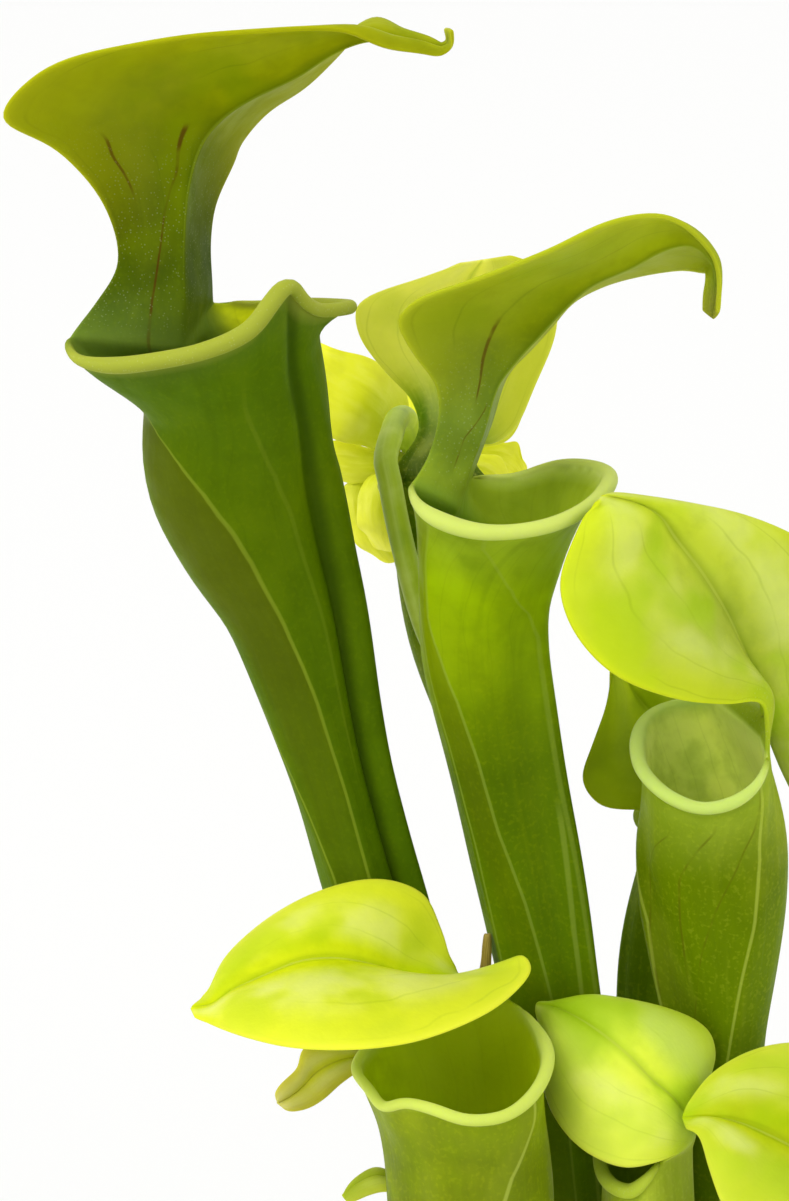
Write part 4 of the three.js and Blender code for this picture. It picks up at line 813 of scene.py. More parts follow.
lowLeftPitcher = {
    "node": "low_left_pitcher", "slot": "low_left_leaf",
    "tones": [(0, "8a5a24"), (0.1, "7a6a10"), (0.6, "566a00"), (0.9, "6a7c04"), (0.98, "80920c"),
              (1.15, "b4c80a"), (1.4, "d2df08"), (2.0, "d6e10b")],
    "lightTone": "c6d11c", "darkTone": "8ea700", "rimTone": "d2e468", "edgeTone": "e6ec3c",
    "paintedInsideLight": "bed102", "paintedSheenTone": "e8ee9a", "deepTone": "b4cc00", "crestHighlightTone": "cdd860",
    "sheen": 0.5, "arch": 2, "groove": 1.2, "gloss": 0.08, "swellFrom": 0.32,
    "ridges": [
        {"height": 1.6, "spread": 0.1, "shadedFacet": (0.05, 0.3, "8c9a20"),
         "path": [(1.0, 0.7), (0.966, 0.687), (0.905, 0.622), (0.873, 0.602), (0.4, 0.58)]},
    ],
    "columns": 22, "rings": 11, "blendFrom": 0.84,
    "roll": 1.0, "wing": 3,
    "rollSlimness": [(0, 0.7), (0.3, 0.6), (0.45, 0.6), (0.7, 0.8), (0.85, 1.15), (1, 1)],
    "spine": [
        (-22, -30, 12.3, 4.5, 4.5), (-22, -30, 24, 4.5, 4.5), (-23, -31, 55, 5.5, 5.5),
        (-24.5, -31, 95, 9.5, 9.5), (-25.5, -31, 128, 14, 13.5), (-26, -31, 155, 16.3, 15.5),
        (-26.9, -31, 172, 16.2, 16.5), (-28, -31, 183, 18, 19),
    ],
    "mouth": {
        "back": (-24, -10, 189), "right": (-34, -8, 186.5), "left": (-17.5, -16, 191),
        "rim": [
            (-41.5, -12, 184), (-47.5, -20, 181.5), (-48.5, -28, 181), (-46, -36, 180.5),
            (-43, -43, 179.5), (-39, -47, 182), (-34, -50, 182), (-27.5, -52, 180.5),
            (-20, -50, 180.5), (-14, -43, 182.5), (-11, -33, 185.5), (-12.5, -24, 188),
        ],
    },
    "lid": [
        ((-31.5, -5, 190), (-25, -6, 191), (-21.8, -12, 192.9)),
        ((-29, -6, 193.5), (-26.5, -10, 193), (-20.1, -15, 197.1)),
        ((-30.3, -6, 197.8), (-31, -12, 194), (-15.3, -20, 202)),
        ((-31, -5, 200.8), (-35, -13.5, 195), (-14, -25, 201.4)),
        ((-32, -4, 203.5), (-39.5, -15, 196.3), (-15.6, -31, 200.4)),
        ((-35, -3, 209.5), (-46, -18, 199.5), (-23, -42, 198)),
        ((-43, -4, 213), (-53, -20, 201.5), (-35.5, -50, 195.5)),
        ((-54, -5, 211.5), (-59.5, -22, 201.5), (-48.5, -54, 195)),
        ((-65, -8, 207), (-66, -24, 199.5), (-60.5, -50, 194)),
        ((-74, -13, 200.5), (-72.5, -26, 197), (-70.5, -42, 193.5)),
        ((-77.5, -21, 195.5), (-77, -28, 194.5), (-76.5, -33, 192.5)),
        ((-80, -27.5, 195), (-81, -29, 194.5), (-80, -30.5, 193)),
    ],
}

lowMiddlePitcher = {
    "node": "low_middle_pitcher", "slot": "low_middle_leaf",
    "tones": [(0, "8a7434"), (0.1, "7a8a08"), (0.9, "7f9304"), (1.0, "a4b62a"), (1.2, "d3f113"),
              (1.5, "e7fb4c"), (2.0, "aac31c")],
    "lightTone": "e2f158", "darkTone": "92b203", "rimTone": "b0c23c", "edgeTone": "d6e248",
    "paintedInsideLight": "9cb020",
    "paintedSheenTone": "dae69a", "deepTone": "8eb400", "sheen": 0.5,
    "paintedLightHalves": [(-1, "e6f664", 0.3), (1, "9cbc10", 0.5)],
    "crestHighlightTone": "bccb4a", "arch": 2.2, "groove": 1.4, "gloss": 0.07,
    "columns": 18, "rings": 10, "blendFrom": 0.78,
    "roll": 0.9, "wing": 2,
    "spine": [
        (5, -22, 12.3, 4, 4), (5, -22, 24, 4, 4), (6.5, -22.5, 65, 4.5, 4.5), (9, -23, 110, 7, 7),
        (10.5, -24, 140, 9.5, 9), (9.5, -23, 161, 9.5, 9.5),
    ],
    "mouth": {
        "back": (18, -24, 163.5), "right": (15, -14, 163.5), "left": (11.5, -32, 163.7),
        "rim": [
            (9, -11, 163.5), (3.5, -13, 162.5), (0.5, -18, 161), (0.5, -25, 158.5), (2.8, -31, 157.8),
            (5.6, -33, 158), (8.2, -34, 160.6),
        ],
    },
    "lid": [
        ((17.3, -14, 165.9), (18.5, -24, 167), (14.6, -32, 165.8)),
        ((18.9, -13, 168.7), (16.5, -25, 170), (11.4, -35, 165.2)),
        ((20.8, -14, 173), (14, -26, 174.5), (3.8, -37, 164.5)),
        ((23.2, -14.5, 179.6), (9.5, -27, 179), (-4, -33, 166.4)),
        ((21.8, -13.5, 184.3), (5.5, -27, 183.5), (-9.2, -24, 169.9)),
        ((14.1, -13, 188.2), (1.5, -25, 186.5), (-11, -19, 174.3)),
        ((1.6, -13, 189.5), (-3.5, -21, 188.8), (-10.9, -18, 180.7)),
        ((-5.5, -13, 189.5), (-8, -17, 189.8), (-11.7, -17, 186)),
        ((-12, -10.5, 189), (-12.5, -11.5, 189), (-12.5, -13, 188.4)),
    ],
}

lowRightPitcher = {
    "node": "low_right_pitcher", "slot": "low_right_leaf",
    "tones": [(0, "8a7434"), (0.1, "7a8a08"), (0.9, "7f9304"), (1.0, "a4b62a"), (1.2, "90a500"),
              (1.5, "bbc90a"), (2.0, "bfcd0e")],
    "lightTone": "c5cc27", "darkTone": "839901", "rimTone": "b0c23c", "edgeTone": "dde648",
    "paintedInsideLight": "9cb020",
    "paintedSheenTone": "dee896", "deepTone": "a4c400", "sheen": 0.5,
    "crestHighlightTone": "bccb4a", "arch": 2.2, "groove": 1.4, "gloss": 0.07,
    "columns": 18, "rings": 10, "blendFrom": 0.78,
    "roll": 1, "wing": 2,
    "spine": [
        (30, -22, 12.3, 4, 4), (30, -22, 24, 4, 4), (33, -23, 60, 4.5, 4.5), (40, -26, 95, 7, 7),
        (45, -28, 122, 9, 9), (47, -28, 144, 9.5, 10),
    ],
    "mouth": {
        "back": (56.5, -29, 148), "right": (54, -20, 148), "left": (53, -38, 146.5),
        "rim": [
            (49, -16, 147.5), (43, -18, 147), (39, -25, 145), (39.5, -33, 143), (42.5, -39, 142),
            (47, -42, 144),
        ],
    },
    "lid": [
        ((56, -20, 151.5), (57, -29, 151.5), (52, -38, 151)),
        ((58.5, -16, 157), (52.5, -31, 158), (46, -43, 152.5)),
        ((59, -12, 165.5), (46, -32, 162), (37.5, -46, 152.5)),
        ((54, -10, 174.5), (38.5, -33, 166), (29, -48, 155)),
        ((45, -12, 180.5), (31.5, -34, 170), (22.5, -46, 160)),
        ((33.5, -17, 182), (25.5, -34, 172.5), (20, -42, 166)),
        ((22.5, -24, 179), (20.5, -33, 173), (18.5, -37, 171)),
        ((16.5, -29.5, 174), (15.5, -31, 172.5), (16.5, -32.5, 171)),
    ],
}

rearPitcher = {
    "node": "rear_pitcher", "slot": "rear_leaf",
    "tones": [(0, "8a7434"), (0.1, "748408"), (0.8, "6a8604"), (0.98, "5d7a04"), (1.05, "3a5604"),
              (1.22, "4e7006"), (1.33, "64900a"), (1.42, "a4b818"), (1.55, "e0e83c"), (2.0, "ffff6b")],
    "lightTone": "f5f566", "darkTone": "9caf05", "rimTone": "b9c840", "edgeTone": "dde24a",
    "paintedInsideLight": "a4b62a",
    "paintedSheenTone": "e2e686", "deepTone": "a8bc00", "sheen": 0.4, "edgeFrom": 1.36,
    "paintedLightHalves": [(-1, "ffff7a", 0.3), (1, "b6bc10", 0.5)],
    "crestHighlightTone": "bccb4a", "arch": 0.8, "groove": 0.4,
    "columns": 18, "rings": 10, "blendFrom": 0.82,
    "roll": 1.2, "wing": 2,
    "spine": [
        (-2, 32, 12.3, 4.5, 4.5), (-2, 32, 24, 4.5, 4.5), (-3, 32, 80, 4.5, 4.5),
        (-7, 31, 150, 4.5, 4.5), (-14, 30, 195, 4.8, 4.8), (-22, 30, 228, 5.5, 5.5),
        (-31, 31, 258, 7.5, 7.5), (-32, 37, 285, 10.5, 10.5),
    ],
    "mouth": {
        "back": (-30, 28, 287.5), "right": (-20, 44, 285.5), "left": (-40.5, 31, 288),
        "rim": [
            (-23, 50, 284), (-30, 55, 283.5), (-37.5, 52, 284), (-42, 46, 285.5), (-43, 38, 286.5),
        ],
    },
    "lid": [
        ((-24, 45, 290), (-33.5, 33, 291.5), (-41, 30, 291.5)),
        ((-24, 47, 295), (-31.5, 36, 298), (-36, 33, 299)),
        ((-20.5, 50, 294), (-30, 37, 305), (-37.5, 34, 305.5)),
        ((-15.5, 52, 296.5), (-29, 37, 312.5), (-43, 33, 311.5)),
        ((-11, 54, 306), (-28, 36, 320), (-48.5, 32, 319.5)),
        ((-6.5, 52, 318.5), (-27, 36, 326), (-48.5, 31, 326)),
        ((-8.5, 46, 331), (-25.5, 36, 331), (-35.5, 33, 331)),
        ((-17, 41, 335), (-23, 37, 334.5), (-27, 35, 334)),
    ],
}

hiddenPitcher = {
    "node": "hidden_pitcher", "slot": "hidden_leaf",
    "tones": [(0, "8a7434"), (0.1, "6a7a08"), (0.6, "4c6a04"), (1.0, "7c9604"), (1.3, "abc106"),
              (2.0, "b5c710")],
    "lightTone": "cad732", "darkTone": "617e02", "rimTone": "9aae1a", "edgeTone": "a4b41a",
    "paintedInsideLight": "90a61a",
    "paintedSheenTone": "a8b84c", "deepTone": "6a8602", "sheen": 0.3,
    "crestHighlightTone": "a6b62a", "arch": 1.4,
    "columns": 16, "rings": 9, "blendFrom": 0.8,
    "roll": 1, "wing": 1.5,
    "spine": [
        (14, 25, 12.3, 4, 4), (14, 25, 24, 4, 4), (13.5, 26, 80, 4, 4), (13.5, 26, 150, 5, 5),
        (15, 26, 192, 6.2, 6.5), (17, 26, 206, 7, 8), (18.5, 26, 217, 8, 9.5),
    ],
    "mouth": {
        "back": (28, 26, 218), "right": (25.5, 34, 218), "left": (25.5, 19, 217.5),
        "rim": [
            (20.5, 38, 218), (15.5, 36, 218), (11.5, 28, 218), (12, 20, 217.5), (16, 15, 217.5),
            (21, 16, 217.5),
        ],
    },
    "lid": [
        ((25, 34, 221), (27.5, 26, 222), (22.5, 19, 221)),
        ((24, 36, 227.5), (23, 25, 228), (11.5, 17, 221.5)),
        ((22.5, 36, 236), (17.5, 24, 235), (2, 15, 223)),
        ((21, 34, 245.5), (12.5, 23, 241), (-2, 15, 228.5)),
        ((17, 30, 252), (8.5, 22, 246), (0, 16, 236)),
        ((11.5, 26, 254), (6, 21, 250.5), (3, 18, 244)),
        ((5.5, 22.5, 253.5), (4, 21, 253.5), (4, 19.5, 251.5)),
    ],
}


youngBuild = {
    "columns": 12, "neckHalf": 2, "rings": 9, "blendFrom": 0.8, "roll": 0.7, "wing": 0, "uneven": 0.3,
    "lidShares": (0.06, 0.2, 0.4, 0.6, 0.8, 0.94, 1), "footWidth": 3, "uprightFoot": 20,
}


def youngLid(young, place, r):  # lid rows from a length, a width, a rise and a droop
    rows = []
    for t in youngBuild["lidShares"]:
        forward = -r + young["lidLength"] * t * t
        width = max(0.8, young["lidWidth"] / 2 * math.sin(math.pi * min(1, 0.22 + 0.76 * t)) ** 0.6)
        up = 4 + young["rise"] * math.sin(t * math.pi * 0.75) - young["droop"] * t * t
        tilt = young["lean"] * width * 2 / young["lidWidth"]
        margins = [place(forward - 1, side * width, up - 1 + side * tilt) for side in (1, -1)]
        rows.append((margins[0], place(forward, 0, up), margins[1]))
    return rows


def youngLeaf(young):  # a small pitcher worked out from its size and heading
    turn = math.radians(young["heading"])
    front = np.array((math.cos(turn), math.sin(turn), 0))
    side = np.array((math.sin(turn), -math.cos(turn), 0))
    top, foot = np.array(young["mouthCentre"], float), np.array(young["foot"], float)
    r = young["mouthWidth"] / 2

    def place(forward, sideways, up):
        return tuple(top + front * forward + side * sideways + np.array((0, 0, up)))

    footSize = (youngBuild["footWidth"],) * 2
    above = foot + np.array((0, 0, youngBuild["uprightFoot"]))
    middle = foot + (top - foot) * 0.55
    spine = [(*foot, *footSize), (*above, *footSize), (*middle, r * 0.6, r * 0.6), (*top, r, r)]
    rim = [place(0, r, 0.5), place(r * 0.75, r * 0.7, 0), place(r * 1.15, 0, 0),
           place(r * 0.75, -r * 0.7, 0), place(0, -r, 0.5)]
    mouth = {"back": place(-r, 0, 2), "right": place(-r * 0.7, r * 0.7, 1.5), "rim": rim,
             "left": place(-r * 0.7, -r * 0.7, 1.5)}
    lid = young.get("lid") or youngLid(young, place, r)
    return {**youngBuild, **young, "spine": spine, "mouth": mouth, "lid": lid}


youngPitcher = {
    "node": "young_pitcher", "slot": "young_leaf", "foot": (-14, -8, 12.3),
    "mouthCentre": (-40.5, -4.5, 167),
    "heading": 187, "mouthWidth": 8,
    "lid": [
        ((-38.5, -1.5, 175), (-36.5, -4, 174.5), (-38, -7, 173.5)),
        ((-46.7, -2.5, 175.3), (-46, -4.5, 174.1), (-45.6, -6.5, 172.7)),
        ((-51, -3, 177.2), (-49.5, -5, 175), (-48.1, -7, 172.9)),
        ((-56, -4, 178.1), (-53.6, -6, 174.5), (-51.8, -7.5, 170.7)),
        ((-59.7, -5, 177.1), (-57.3, -6.5, 172.3), (-55.5, -8, 167.4)),
        ((-60.8, -6.5, 173.6), (-60.1, -7.5, 169.6), (-58.7, -8.5, 165.7)),
        ((-63.8, -7.5, 170.7), (-62.9, -8.5, 167.8), (-61.5, -9, 165.4)),
        ((-65.1, -8, 168.9), (-64.3, -8.5, 167), (-63.1, -9, 165.7)),
        ((-65.2, -8.5, 167.6), (-65, -8.8, 166.9), (-64.4, -9, 166.3)),
    ],
    "tones": [(0, "8f7b3c"), (0.2, "7d8a1c"), (1.0, "a8b820"), (1.3, "c4ca1c"), (1.6, "c8c83a"),
              (2.0, "c4bc62")],
    "lightTone": "cfcb5a", "darkTone": "8d9020", "rimTone": "bcc04e", "edgeTone": "c9bf4a",
    "paintedInsideLight": "b0b44a",
    "paintedSheenTone": "d4d29a", "deepTone": "9a9c2c", "sheen": 0.4,
    "crestHighlightTone": "cfcb5a", "arch": 1.0, "groove": 0.1,
}

tinyPitcher = {
    "node": "tiny_pitcher", "slot": "tiny_leaf", "foot": (-36, -14, 12.3),
    "mouthCentre": (-44.5, -14.5, 143),
    "heading": 200, "mouthWidth": 7, "lidLength": 11, "lidWidth": 8, "rise": 7, "droop": 2, "lean": 1,
    "tones": [(0, "8f7b3c"), (0.2, "83941c"), (1.0, "a5b52c"), (1.2, "bccb3a"), (2.0, "c0cc40")],
    "lightTone": "d8e25a", "darkTone": "8b9a14", "rimTone": "c6cf3e", "edgeTone": "d2d850",
    "paintedInsideLight": "b8c43a",
    "paintedSheenTone": "dce69a", "deepTone": "94a81a", "sheen": 0.4,
    "crestHighlightTone": "d8e25a", "arch": 0.5, "groove": 0.3,
}


# Flower: a stalk that hooks over, five petals hanging between five sepals
flowerStalk = {
    "path": [
        (-8, 22, 12.3), (-8, 22, 30), (-8, 22, 100), (-10, 20.5, 165), (-17.5, 19, 211.5),
        (-23.5, 18.5, 231.5), (-29.5, 18.5, 248.5), (-35, 19, 261.5), (-38.5, 20, 274),
        (-40.5, 21, 282.5), (-42, 22, 290.5), (-42.8, 24, 294), (-42.3, 28, 296.5), (-41.5, 34, 298.3),
        (-40.5, 45, 299.6), (-39.2, 58, 298.4), (-38, 69, 295.2), (-37.5, 76.2, 289.3),
    ],
    "radius": 2.5, "ribs": 0.03, "sides": 20, "steps": 170,
    "skin": {"low": "7f8f20", "high": "bcd628", "light": "d8ea68", "dark": "94b414", "stripes": 6},
}
flowerHead = {
    "centre": (-37.5, 78, 284.5), "across": 14, "along": 26, "thickness": 0.8, "ruffle": (0.35, 0.8),
    "skin": {"low": "dce408", "high": "ffff10", "light": "ffff58", "dark": "e2e404", "rough": 0.6,
             "stripes": 7},
    "coreSkin": {"low": "a4b62a", "high": "a4b62a", "light": "c4cf55", "dark": "849616"}, "coreSteps": 28,
    "blades": [  # five sepals, then five petals: rows of one margin, the middle and the other margin
        [
            [(-39.9, 77.9, 286.6), (-40.6, 77.4, 285.7), (-41.4, 76.8, 284.8)],
            [(-37.7, 81, 297.6), (-42.5, 77, 293), (-45.1, 72, 288.8)],
            [(-42.9, 74, 307.1), (-47.2, 65, 300.6), (-51.9, 66, 291.4)],
            [(-51.9, 69, 311.3), (-55.6, 66, 305.7), (-59.2, 67, 295.2)],
            [(-61.3, 70, 314.1), (-62.9, 69, 311.1), (-64, 70, 306.5)],
        ],
        [
            [(-35.4, 76.9, 286.7), (-34.7, 76.4, 285.7), (-34.1, 75.9, 284.7)],
            [(-30.9, 75, 297.4), (-28.7, 73, 293.2), (-26, 73, 288.2)],
            [(-24.2, 76, 305.7), (-20.5, 74, 299.3), (-15.1, 73, 291.4)],
            [(-16.4, 78, 313.3), (-13.1, 76, 308), (-10.7, 75, 302.7)],
            [(-6.8, 80, 316.4), (-5.7, 80, 316), (-5.5, 79, 314.7)],
        ],
        [
            [(-39.8, 75.9, 285.8), (-39.9, 75.9, 284.5), (-40.1, 75.9, 283.2)],
            [(-45.1, 73, 288.4), (-45.6, 71, 285.8), (-45.8, 73, 281.7)],
            [(-50.9, 74, 290.5), (-51.1, 72, 286.1), (-50.9, 74, 281.1)],
            [(-55.4, 75, 290.6), (-56.1, 74, 286.3), (-55.2, 75, 281.6)],
            [(-58.1, 76, 288.6), (-59, 76, 286.4), (-58.1, 76, 283.7)],
        ],
        [
            [(-38.8, 81.2, 285.7), (-37.5, 81.2, 285.7), (-36.2, 81.2, 285.7)],
            [(-41.3, 90, 291), (-37.5, 92, 291.4), (-33.4, 90, 291)],
            [(-42.5, 96, 296.1), (-37.4, 98, 296.8), (-32.4, 96, 296.1)],
            [(-40.9, 99, 300.3), (-37.4, 100, 301.6), (-34, 99, 300.3)],
            [(-38.4, 100, 303.4), (-37.4, 100, 303.9), (-36.5, 100, 303.4)],
        ],
        [
            [(-36.7, 80.6, 286.4), (-35.6, 80.6, 285.7), (-34.5, 80.6, 285)],
            [(-31.6, 87, 291), (-29.3, 89, 288.9), (-27.3, 87, 286.9)],
            [(-27.9, 91, 296.1), (-24.2, 93, 292.9), (-20.6, 91, 290.4)],
            [(-23.3, 94, 298.7), (-20.5, 95, 296.3), (-18.2, 94, 294.1)],
            [(-18.2, 96, 299.8), (-17.7, 96, 299.4), (-17.3, 96, 298.7)],
        ],
        [
            [(-40, 75, 283.2), (-38.7, 75, 283), (-37.4, 75, 282.8)],
            [(-47.3, 69, 282.4), (-43.3, 64, 283.4), (-39.1, 69, 281.7)],
            [(-49.3, 69, 276.7), (-44.4, 62, 277.5), (-38.9, 68, 275.6)],
            [(-48.3, 71, 270.9), (-43.8, 65, 271.2), (-39.1, 70, 269.5)],
            [(-44.7, 73, 266.7), (-42.5, 71, 266.2), (-40.4, 72, 266.4)],
        ],
        [
            [(-41.7, 76.9, 283.6), (-40.5, 76.9, 283), (-39.3, 76.9, 282.4)],
            [(-52.5, 76, 279.8), (-48.3, 74, 281.3), (-43.1, 78, 280.1)],
            [(-53, 77, 275.3), (-48.3, 74, 274.9), (-42.9, 78, 273.3)],
            [(-51, 78, 268.7), (-46.5, 75, 267.9), (-41.3, 78, 266.9)],
            [(-45.2, 79, 263.4), (-42.2, 78, 262), (-39.5, 79, 263)],
        ],
        [
            [(-35.1, 75.6, 284.6), (-35.3, 75.6, 283.3), (-35.5, 75.6, 282)],
            [(-27.6, 71, 287.6), (-28.3, 68, 285.4), (-28.9, 71, 281.8)],
            [(-20.7, 71, 288.3), (-21.7, 67, 284.3), (-23.3, 71, 278.2)],
            [(-15.9, 73, 284.8), (-17.6, 70, 279.7), (-20.1, 73, 273.7)],
            [(-15.1, 75, 275.9), (-16.5, 74, 274.5), (-18, 75, 273.4)],
        ],
        [
            [(-34.5, 78.5, 284.6), (-34.3, 78.5, 283.3), (-34.2, 78.5, 282)],
            [(-26.3, 81, 288.5), (-25.8, 80, 286), (-25.8, 81, 282.8)],
            [(-17.2, 83, 289.3), (-16.8, 81, 285.6), (-17.1, 83, 280.7)],
            [(-12.8, 84, 287.8), (-14.2, 83, 283.4), (-13.9, 84, 278.2)],
            [(-11.2, 85, 282.2), (-11.6, 85, 279.9), (-12.3, 85, 277.5)],
        ],
        [
            [(-38.6, 81.2, 283.1), (-37.4, 81.2, 283), (-36.1, 81.2, 282.9)],
            [(-41.1, 86, 277.4), (-37, 89, 277.3), (-32.5, 86, 277.4)],
            [(-41.6, 88, 270.1), (-37, 92, 268.9), (-32, 88, 270.1)],
            [(-40.4, 87, 264.2), (-37, 89, 262.9), (-33.3, 87, 264.2)],
            [(-38.1, 86, 261.1), (-37, 87, 260.2), (-35.6, 86, 261.1)],
        ],
    ],
    "core": [(0, 3.4), (3.2, 2.8), (5.2, 0), (5.2, -4), (2.2, -7), (1.4, -10), (1.4, -16), (5, -16.5),
             (7.5, -18), (7.2, -19), (0, -18)],
}


def makeFlowerStalk():
    def section(t, angles):
        return flowerStalk["radius"] * (1 + flowerStalk["ribs"] * np.sin(3 * angles + 6 * t))

    bm = newSheetMesh()
    addTube(bm, flowerStalk["path"], flowerStalk["sides"], flowerStalk["steps"], section)
    closeEnds(bm)
    finishPiece(bm, "flowerStalk", "flower_stalk", "stalk", plainSkin("stalkSkin", **flowerStalk["skin"]))


def flowerBladeRows(blade, along, across, ruffle):
    t = np.linspace(0, 1, along + 1)
    oneEdge, middle, otherEdge = [curveThrough([row[k] for row in blade])(t)[:, None] for k in range(3)]
    s = np.linspace(-1, 1, across + 1)[None, :, None]
    rows = middle + s * (otherEdge - oneEdge) / 2 + s * s * ((oneEdge + otherEdge) / 2 - middle)
    ripple = np.sin(t[:, None, None] * 21 + blade[2][1][0] + 2.5 * np.sign(s))
    return rows + ruffle * smooth(t * 3)[:, None, None] * np.abs(s) ** 3 * ripple * np.array((0.3, 1, 0.5))


def makeFlowerHead():
    across, along = flowerHead["across"], flowerHead["along"]
    bm = newSheetMesh()
    for i, blade in enumerate(flowerHead["blades"]):
        rows = flowerBladeRows(blade, along, across, flowerHead["ruffle"][i >= 5])
        addSheet(bm, rows, *gridShares(along, across))
    skin = plainSkin("petalSkin", **flowerHead["skin"])
    thicken(finishPiece(bm, "flowerPetals", "flower_head", "petals", skin), flowerHead["thickness"])

    bm = newSheetMesh()
    centre = Vector(flowerHead["centre"])
    profile = [bm.verts.new((centre + Vector((r, 0, z))) * mm) for r, z in flowerHead["core"]]
    edges = [bm.edges.new(pair) for pair in zip(profile, profile[1:])]
    bmesh.ops.spin(bm, geom=profile + edges, cent=centre * mm, axis=(0, 0, 1), angle=2 * math.pi,
                   steps=flowerHead["coreSteps"], use_merge=True)
    mergeDoubles(bm)
    bmesh.ops.recalc_face_normals(bm, faces=bm.faces)
    skin = plainSkin("coreSkin", **flowerHead["coreSkin"])
    refine(finishPiece(bm, "flowerCore", "flower_head", "petals", skin))


# Withered leaf between the pitchers
witheredLeaf = {
    "path": [(-7, -11, 21), (-10, -8, 80), (-18, -5, 150), (-22.6, -2.5, 183), (-22, -2.5, 201)],
    "width": 6.6, "taper": (0.28, 0.68), "curl": 0.6, "ripple": 0.35, "thickness": 0.9, "across": 8,
    "along": 70,
    "skin": {"low": "7a5a2a", "high": "8d7a18", "light": "b79f4a", "dark": "54401a", "rough": 0.7,
             "stripes": 12},
}


def makeWitheredLeaf():
    path, across, along = witheredLeaf["path"], witheredLeaf["across"], witheredLeaf["along"]
    start, change = witheredLeaf["taper"]
    t = np.linspace(0, 1, along + 1)
    columns = []
    for s in np.linspace(-1, 1, across + 1):
        line = []
        for k, p in enumerate(path):
            half = witheredLeaf["width"] / 2 * math.sin(math.pi * (start + change * k / (len(path) - 1)))
            line.append(np.array(p) + np.array((s * half, witheredLeaf["curl"] * s * s, 0)))
        place = curveThrough(line)(t)
        place[:, 1] += witheredLeaf["ripple"] * np.sin(t * 37 + s * 3) * abs(s)
        columns.append(place)
    bm = newSheetMesh()
    addSheet(bm, np.array(columns).transpose(1, 0, 2), *gridShares(along, across))
    skin = plainSkin("witheredSkin", **witheredLeaf["skin"])
    thicken(finishPiece(bm, "witheredLeaf", "withered_leaf", "withered", skin), witheredLeaf["thickness"])


# Rhizome with ringed branches, the stumps of leaf bases and fibrous roots
rhizome = {
    "radius": 9.5, "ringsPerBranch": 60, "sides": 28,
    "branches": [
        [(-42, -16, 8), (-22, -26, 8), (5, -23, 8), (34, -21, 8)],
        [(-26, 9, 8), (-8, 3, 8), (12, 0, 8), (36, -2, 8)],
        [(-24, 22, 8), (-4, 30, 8), (22, 24, 8)],
        [(-14, -26, 8), (-13, -6, 8), (-10, 14, 8), (-6, 33, 8)],
        [(30, -22, 8), (26, 0, 8), (16, 26, 8)],
    ],
    "stumpHeights": (5, 12, 20), "stumpSides": 20, "stumpSteps": 8, "flare": (4.5, 3.2), "footMargin": 0.6,
    "rootCount": 18, "rootLength": (34, 62), "rootRing": (30, 22), "rootStart": (6, 4), "rootRadius": 1.1,
    "rootBend": 0.9, "rootArch": 3, "rootTaper": 0.45, "rootSides": 8, "rootSteps": 40, "seed": 41,
    "lowest": 0.1,
    "skin": {"low": "5d4327", "high": "6f5231", "light": "8a6c45", "dark": "3a2917", "rough": 0.85,
             "scale": 300},
}


def seededDraws(seed):
    state = seed
    while True:
        state = (state * 1664525 + 1013904223) % 4294967296
        yield state / 4294967296


def addBranches(bm):
    for i, path in enumerate(rhizome["branches"]):
        def section(t, angles):
            ends = math.sqrt(max(0.12, 1 - (2 * t - 1) ** 8))
            scars = 0.05 * abs(math.sin(t * 30 + i)) ** 0.4
            return rhizome["radius"] * ends * (0.98 + scars + 0.05 * np.sin(3 * angles + t * 9))
        addTube(bm, path, rhizome["sides"], rhizome["ringsPerBranch"], section)


def addStumps(bm, feet):  # one round the foot of every leaf and of the stalk
    low, high = rhizome["flare"]
    for (x, y), radius in feet:
        def section(t, angles):
            return radius + low + (high - low) * t + 0.5 * np.sin(5 * angles) * (1 - t)
        path = [(x, y, z) for z in rhizome["stumpHeights"]]
        addTube(bm, path, rhizome["stumpSides"], rhizome["stumpSteps"], section)


def addRoots(bm):
    draw = seededDraws(rhizome["seed"])
    shortest, longest = rhizome["rootLength"]
    (halfWide, halfDeep), (lowStart, more) = rhizome["rootRing"], rhizome["rootStart"]
    for i in range(rhizome["rootCount"]):
        azimuth = 2 * math.pi * (i + 0.6 * next(draw)) / rhizome["rootCount"]
        length = shortest + (longest - shortest) * next(draw)
        start = (halfWide * math.cos(azimuth), halfDeep * math.sin(azimuth), lowStart + more * next(draw))
        bend = (next(draw) - 0.5) * rhizome["rootBend"]
        path = []
        for t in np.linspace(0, 1, 6):
            a = azimuth + bend * t * t + 0.12 * math.sin(t * 7 + i)
            arch = start[2] * (1 - t * 2.2) + rhizome["rootArch"] * math.sin(math.pi * t) * next(draw)
            lift = max(rhizome["rootRadius"] - 0.2, arch)
            path.append((start[0] + length * t * math.cos(a), start[1] + length * t * math.sin(a), lift))
        addTube(bm, path, rhizome["rootSides"], rhizome["rootSteps"],
                lambda t, a: rhizome["rootRadius"] * (1 - rhizome["rootTaper"] * t))


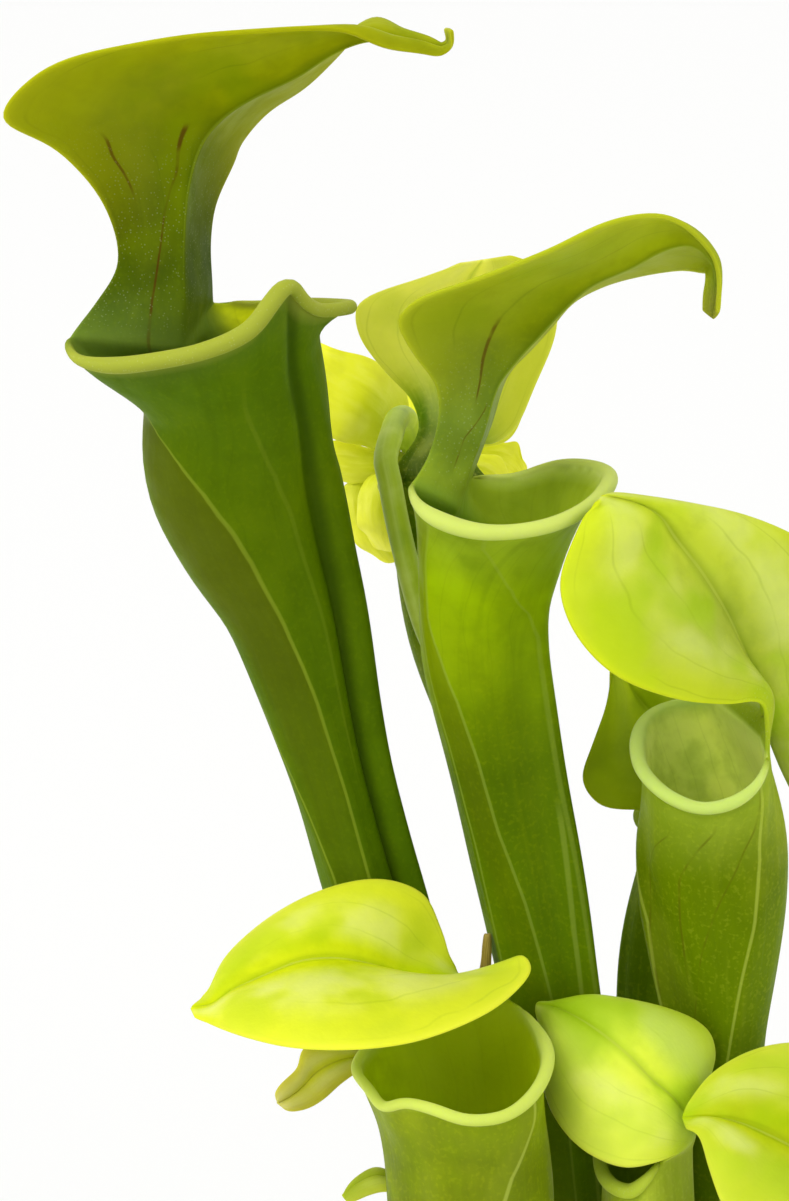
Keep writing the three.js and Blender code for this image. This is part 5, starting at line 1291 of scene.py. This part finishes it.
def makeRhizome(leaves):
    feet = [(leaf["spine"][0][:2], leaf["spine"][0][3] + rhizome["footMargin"]) for leaf in leaves]
    feet.append((flowerStalk["path"][0][:2], flowerStalk["radius"]))
    bm = newSheetMesh()
    addBranches(bm)
    addStumps(bm, feet)
    addRoots(bm)
    closeEnds(bm)
    for vert in bm.verts:
        vert.co.z = max(vert.co.z, rhizome["lowest"] * mm)
    skin = plainSkin("rhizomeSkin", **rhizome["skin"])
    finishPiece(bm, "rhizomeWithRoots", "rhizome_with_roots", "rhizome", skin)


# Stage
studio = {
    "floorSize": 60, "floorColour": (0.93, 0.93, 0.92, 1), "floorRoughness": 0.9, "skyStrength": 0.66,
    "key": {"from": (-0.55, -0.6, 0.85), "strength": 1.7, "softness": 50},
    "fill": {"from": (0.8, -0.5, 0.4), "strength": 0.25, "softness": 70},
}


def makeStage():
    bm = bmesh.new()
    bmesh.ops.create_grid(bm, x_segments=8, y_segments=8, size=studio["floorSize"])
    mesh = bpy.data.meshes.new("floor")
    bm.to_mesh(mesh)
    bm.free()
    floor = bpy.data.objects.new("floor", mesh)
    bpy.context.scene.collection.objects.link(floor)
    material, tree, shader = newMaterial("paleFloor")
    shader.inputs["Base Color"].default_value = studio["floorColour"]
    shader.inputs["Roughness"].default_value = studio["floorRoughness"]
    mesh.materials.append(material)

    world = bpy.data.worlds.new("softRoom")
    bpy.context.scene.world = world
    world.use_nodes = True
    sky = world.node_tree.nodes["Background"]
    sky.inputs[0].default_value = (1, 1, 1, 1)
    sky.inputs[1].default_value = studio["skyStrength"]
    for name in ("key", "fill"):
        light = studio[name]
        lamp = bpy.data.objects.new(name + "Light", bpy.data.lights.new(name + "Light", "SUN"))
        lamp.data.energy = light["strength"]
        lamp.data.angle = math.radians(light["softness"])
        lamp.rotation_euler = Vector(light["from"]).to_track_quat("Z", "Y").to_euler()
        bpy.context.scene.collection.objects.link(lamp)
    bpy.context.scene.view_settings.view_transform = "Standard"


leaves = [tallPitcher, middlePitcher, rightPitcher, lowLeftPitcher, lowMiddlePitcher, lowRightPitcher,
          rearPitcher, hiddenPitcher, youngLeaf(youngPitcher), youngLeaf(tinyPitcher)]
for leaf in leaves:
    makeLeaf(leaf)
    print(leaf["node"], "made")
makeFlowerStalk()
makeFlowerHead()
print("flower made")
makeWitheredLeaf()
makeRhizome(leaves)
print("rhizome and roots made")
makeStage()
print("floor and lights made")
